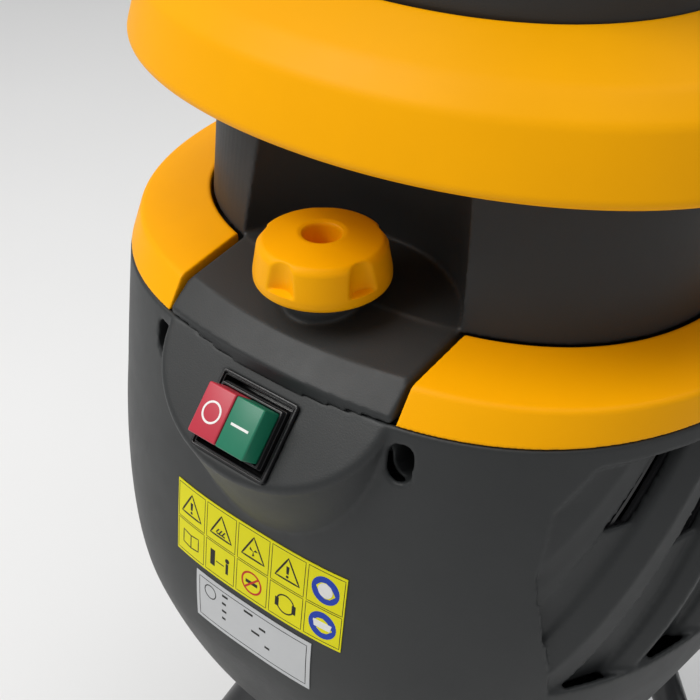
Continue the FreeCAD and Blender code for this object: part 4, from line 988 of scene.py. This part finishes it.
def make_labels():
    sticker("safety_film", -LABEL_HALF, LABEL_HALF, -134, -89, "label_yellow", "safety_label")
    sticker("rating_film", -40, 40, -170, -138, "label_grey", "rating_label")
    cells = 5
    pitch = 2 * LABEL_HALF / cells
    black_lines = []
    black_fills = []
    red_lines = []
    blue_fills = []
    white_fills = []
    triangle = [(-7.6, -5.6), (7.6, -5.6), (0, 7.6)]
    tall_bar = [(-0.7, -1.2), (0.7, -1.2), (0.95, 3.4), (-0.95, 3.4)]
    top_box = [(-10.4, -10.6), (10.4, -10.6), (10.4, 10.6), (-10.4, 10.6)]
    low_box = [(-10.4, -9.8), (10.4, -9.8), (10.4, 9.8), (-10.4, 9.8)]
    xs = [-LABEL_HALF + pitch * (cell + 0.5) for cell in range(cells)]
    for cell, x in enumerate(xs):
        black_lines.append(stroke(moved(top_box, x, WARNINGS), 0.35))
        if cell < cells - 1:
            black_lines.append(stroke(moved(triangle, x, -101.5), 1.0))
        black_lines.append(stroke(moved(low_box, x, DUTIES), 0.35))
    for x in (xs[0], xs[3]):
        black_fills.append(moved(tall_bar, x, -102.2))
        black_fills.append(moved(disc(0.85, 10), x, -105.0))
    for shift in (-2.2, 0, 2.2):
        slash = [(-1.6, -1.6), (-0.6, -1.6), (1.2, 1.0), (0.2, 1.0)]
        black_fills.append(moved(slash, xs[1] + shift, -103.4))
    black_lines.append(stroke(moved([(-3, -3.4), (3, -3.4)], xs[1], -102), 0.8, closed=False))
    for turn in (0.3, 0.3 + math.tau / 3, 0.3 + math.tau * 2 / 3):
        blade = [(0, 0), (3.1 * math.cos(turn), 3.1 * math.sin(turn)),
                 (2.4 * math.cos(turn + 0.6), 2.4 * math.sin(turn + 0.6))]
        black_fills.append(moved(blade, xs[2], -102.6))
    book = [(-6, -4), (0, -5), (6, -4), (6, 4), (0, 3), (-6, 4)]
    black_lines.append(stroke(moved(book, xs[0], DUTIES), 0.7))
    black_lines.append(stroke(moved([(0, -5), (0, 3)], xs[0], DUTIES), 0.7, closed=False))
    black_fills.append(moved([(-7, -5), (-3.6, -5), (-3.6, 5), (-7, 5)], xs[1], DUTIES))
    black_fills.append(moved([(4.4, -5), (6.2, -5), (6.2, 1.6), (4.4, 1.6)], xs[1], DUTIES))
    black_fills.append(moved(disc(1.5, 12), xs[1] + 5.3, -119.2))
    black_lines.append(stroke(moved([(-2.6, -1), (3, -1)], xs[1], DUTIES), 0.6, closed=False))
    red_lines.append(stroke(moved(disc(6.4, 28), xs[2], DUTIES), 1.1))
    red_lines.append(stroke(moved([(-4.5, -4.5), (4.5, 4.5)], xs[2], DUTIES), 1.1, closed=False))
    black_fills.append(moved([(-4, -1), (4, -1), (4, 1), (-4, 1)], xs[2], DUTIES))
    black_lines.append(stroke(moved(disc(5.6, 24), xs[3], DUTIES), 0.8))
    black_fills.append(moved([(-6.6, -3.4), (-4.2, -3.4), (-4.2, 2), (-6.6, 2)], xs[3], DUTIES))
    black_fills.append(moved([(4.2, -3.4), (6.6, -3.4), (6.6, 2), (4.2, 2)], xs[3], DUTIES))
    for z in (WARNINGS, DUTIES):
        blue_fills.append(moved(disc(8.0, 32), xs[4], z))
    white_fills.append(moved(disc(4.2, 20), xs[4], WARNINGS))
    white_fills.append(moved([(-4.6, -2), (4.6, -2), (5.4, 2), (-5.4, 2)], xs[4], DUTIES))
    print_marks("safety_marks_black", "black", black_lines, black_fills)
    print_marks("safety_marks_red", "red", red_lines, [])
    print_marks("safety_marks_blue", "blue", [], blue_fills)
    print_marks("safety_marks_white", "white", [], white_fills, lift=0.66)
    plate_lines = [stroke([(-37.5, -167.5), (37.5, -167.5), (37.5, -140.5), (-37.5, -140.5)], 0.4)]
    plate_lines.append(stroke(moved(disc(4.2, 24), -29, -147), 0.6))
    plate_bars = []
    for row in range(4):
        z = -144 - 5.2 * row
        reach = (22, 31, 27, 34)[row]
        plate_bars.append([(-20, z), (-20 + reach, z), (-20 + reach, z + 1.5), (-20, z + 1.5)])
    print_marks("rating_marks", "black", plate_lines, plate_bars, "label_grey")


# ---------------------------------------------------------------- wheels


TREAD_BLOCKS = 44
AXLE_BORE = 5.1


def turned(pairs, count):
    """Rings round the X axis, through (radius, place along the axis)."""
    turns = [math.tau * step / count for step in range(count)]
    return [[Vector((w, r * math.cos(a), r * math.sin(a))) for a in turns] for r, w in pairs]


def make_wheels():
    tyre_low, tyre_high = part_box("right_tyre")
    radius = (tyre_high.z - tyre_low.z) / 2 / MM
    width = (tyre_high.x - tyre_low.x) / MM
    inner = (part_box("right_hub")[1].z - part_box("right_hub")[0].z) / 2 / MM
    half = width / 2
    near = [(inner, -half + 3), (inner + 3, -half + 0.6), (radius - 9, -half),
            (radius - 3.6, -half + 1.4), (radius - 0.8, -half + 5), (radius, -half + 10)]
    profile = near + [(r, -w) for r, w in reversed(near)]
    path = rounded([[Vector((r, w, 0))] for r, w in profile], 1.5, 3)
    fine = [path[0][0]]
    for (start,), (end,) in zip(path, path[1:]):
        parts = max(1, int((end - start).length / 1.3))
        fine += [start.lerp(end, (part + 1) / parts) for part in range(parts)]
    steps = TREAD_BLOCKS * 8
    rings = []
    for point in fine:
        ring = []
        for step in range(steps):
            angle = math.tau * step / steps
            side = 1 if point.y > 0 else -1
            stagger = 0.5 if side > 0 else 0
            slant = 0.45 * side * abs(point.y) / half
            phase = (angle * TREAD_BLOCKS / math.tau + slant + stagger) % 1
            gap = max(0.0, 1 - abs(phase - 0.5) * 8)
            centre = max(0.0, 1 - abs(point.y) / 1.3)
            outer = min(1.0, max(0.0, (point.x - (radius - 7)) / 3))
            depth = 2.6 * max(min(1.0, gap * 2), min(1.0, centre * 2)) * outer
            reach = point.x - depth
            ring.append(Vector((point.y, reach * math.cos(angle), reach * math.sin(angle))))
        rings.append(ring)
    for word in ("left", "right"):
        low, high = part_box(f"{word}_tyre")
        centre = Matrix.Translation((low + high) / 2) @ Matrix.Scale(MM, 4)
        tyre = build(f"{word}_tyre_tread", *skin(rings, closed=True), centre)
        piece(tyre, f"{word}_wheel", "tyre", [f"{word}_tyre"], crease=45)
        face = -1 if word == "left" else 1
        make_hub(word, centre, inner, half, face)


def make_hub(word, centre, outer, half, face):
    """A moulded hub: rim, five spokes that narrow outward, boss with the axle bore."""
    rim = [(outer, -half + 2.2), (outer, half - 2.2), (outer - 5, half - 2.2),
           (outer - 6.5, half - 8), (outer - 6.5, -half + 8), (outer - 5, -half + 2.2)]
    boss = [(AXLE_BORE, -half), (13, -half), (14, -half + 1.5), (14, half - 1.5), (13, half),
            (AXLE_BORE, half)]
    parts = [build("rim", *skin(turned(rim, 120), closed=True), centre),
             build("boss", *skin(turned(boss, 64), closed=True), centre)]
    web = turned([(10, -2), (outer - 4, -2), (outer - 4, 2), (10, 2)], 120)
    web = build("web", *skin(web, closed=True), centre)
    spokes = 5
    windows = []
    for spoke in range(spokes):
        start = math.tau * spoke / spokes
        corners = []
        for radius, spread in ((20, 0.34), (outer - 11, 0.46)):
            turns = [-spread + 2 * spread * i / 12 for i in range(13)]
            if radius > 20:
                turns.reverse()
            corners += [(radius * math.cos(start + turn), radius * math.sin(start + turn))
                        for turn in turns]
        window = [[Vector((w, y, z)) for y, z in corners] for w in (-12, 12)]
        windows.append(build("window", *skin(window), centre))
        blade = start + math.pi / spokes
        along = Vector((0, math.cos(blade), math.sin(blade)))
        across = Vector((0, -math.sin(blade), math.cos(blade)))
        rings = []
        for reach, wide, deep in ((10, 6.5, half - 3), (outer - 3, 4.5, half - 8)):
            rings.append([along * reach + across * side * wide / 2 + Vector((depth, 0, 0))
                          for side, depth in ((-1, -deep), (1, -deep), (1, deep), (-1, deep))])
        parts.append(build("spoke", *skin(rings), centre))
    combine(web, joined("windows", windows), "DIFFERENCE")
    hub = joined(f"{word}_hub_moulding", [*parts, web])
    soften(hub, 1.0, 2, 0.35)
    bore = turned([(AXLE_BORE, -half - 2), (AXLE_BORE, half + 2)], 48)
    combine(hub, build("bore", *skin(bore), centre), "DIFFERENCE")
    piece(hub, f"{word}_wheel", "hub_plastic", [f"{word}_hub"], crease=60)


make_knob()
make_switch()
make_hopper_top()
make_shoulders()
make_hopper_base()
make_housing()
make_grilles()
make_labels()
make_wheels()

# ---------------------------------------------------------------- floor


def make_floor():
    mesh = bpy.data.meshes.new("floor")
    reach = 14.0
    corners = [(-reach, -reach, 0), (reach, -reach, 0), (reach, reach, 0), (-reach, reach, 0)]
    mesh.from_pydata(corners, [], [(0, 1, 2, 3)])
    floor = bpy.data.objects.new("floor", mesh)
    scene.collection.objects.link(floor)
    look = Look("floor_look")
    look.drive("Base Color", look.mixed(look.noise(3, 2), (0.81, 0.81, 0.81), (0.83, 0.83, 0.83)))
    look.drive("Roughness", look.spread(look.noise(40, 2), 0.55, 0.7))
    mesh.materials.append(look.material)


make_floor()
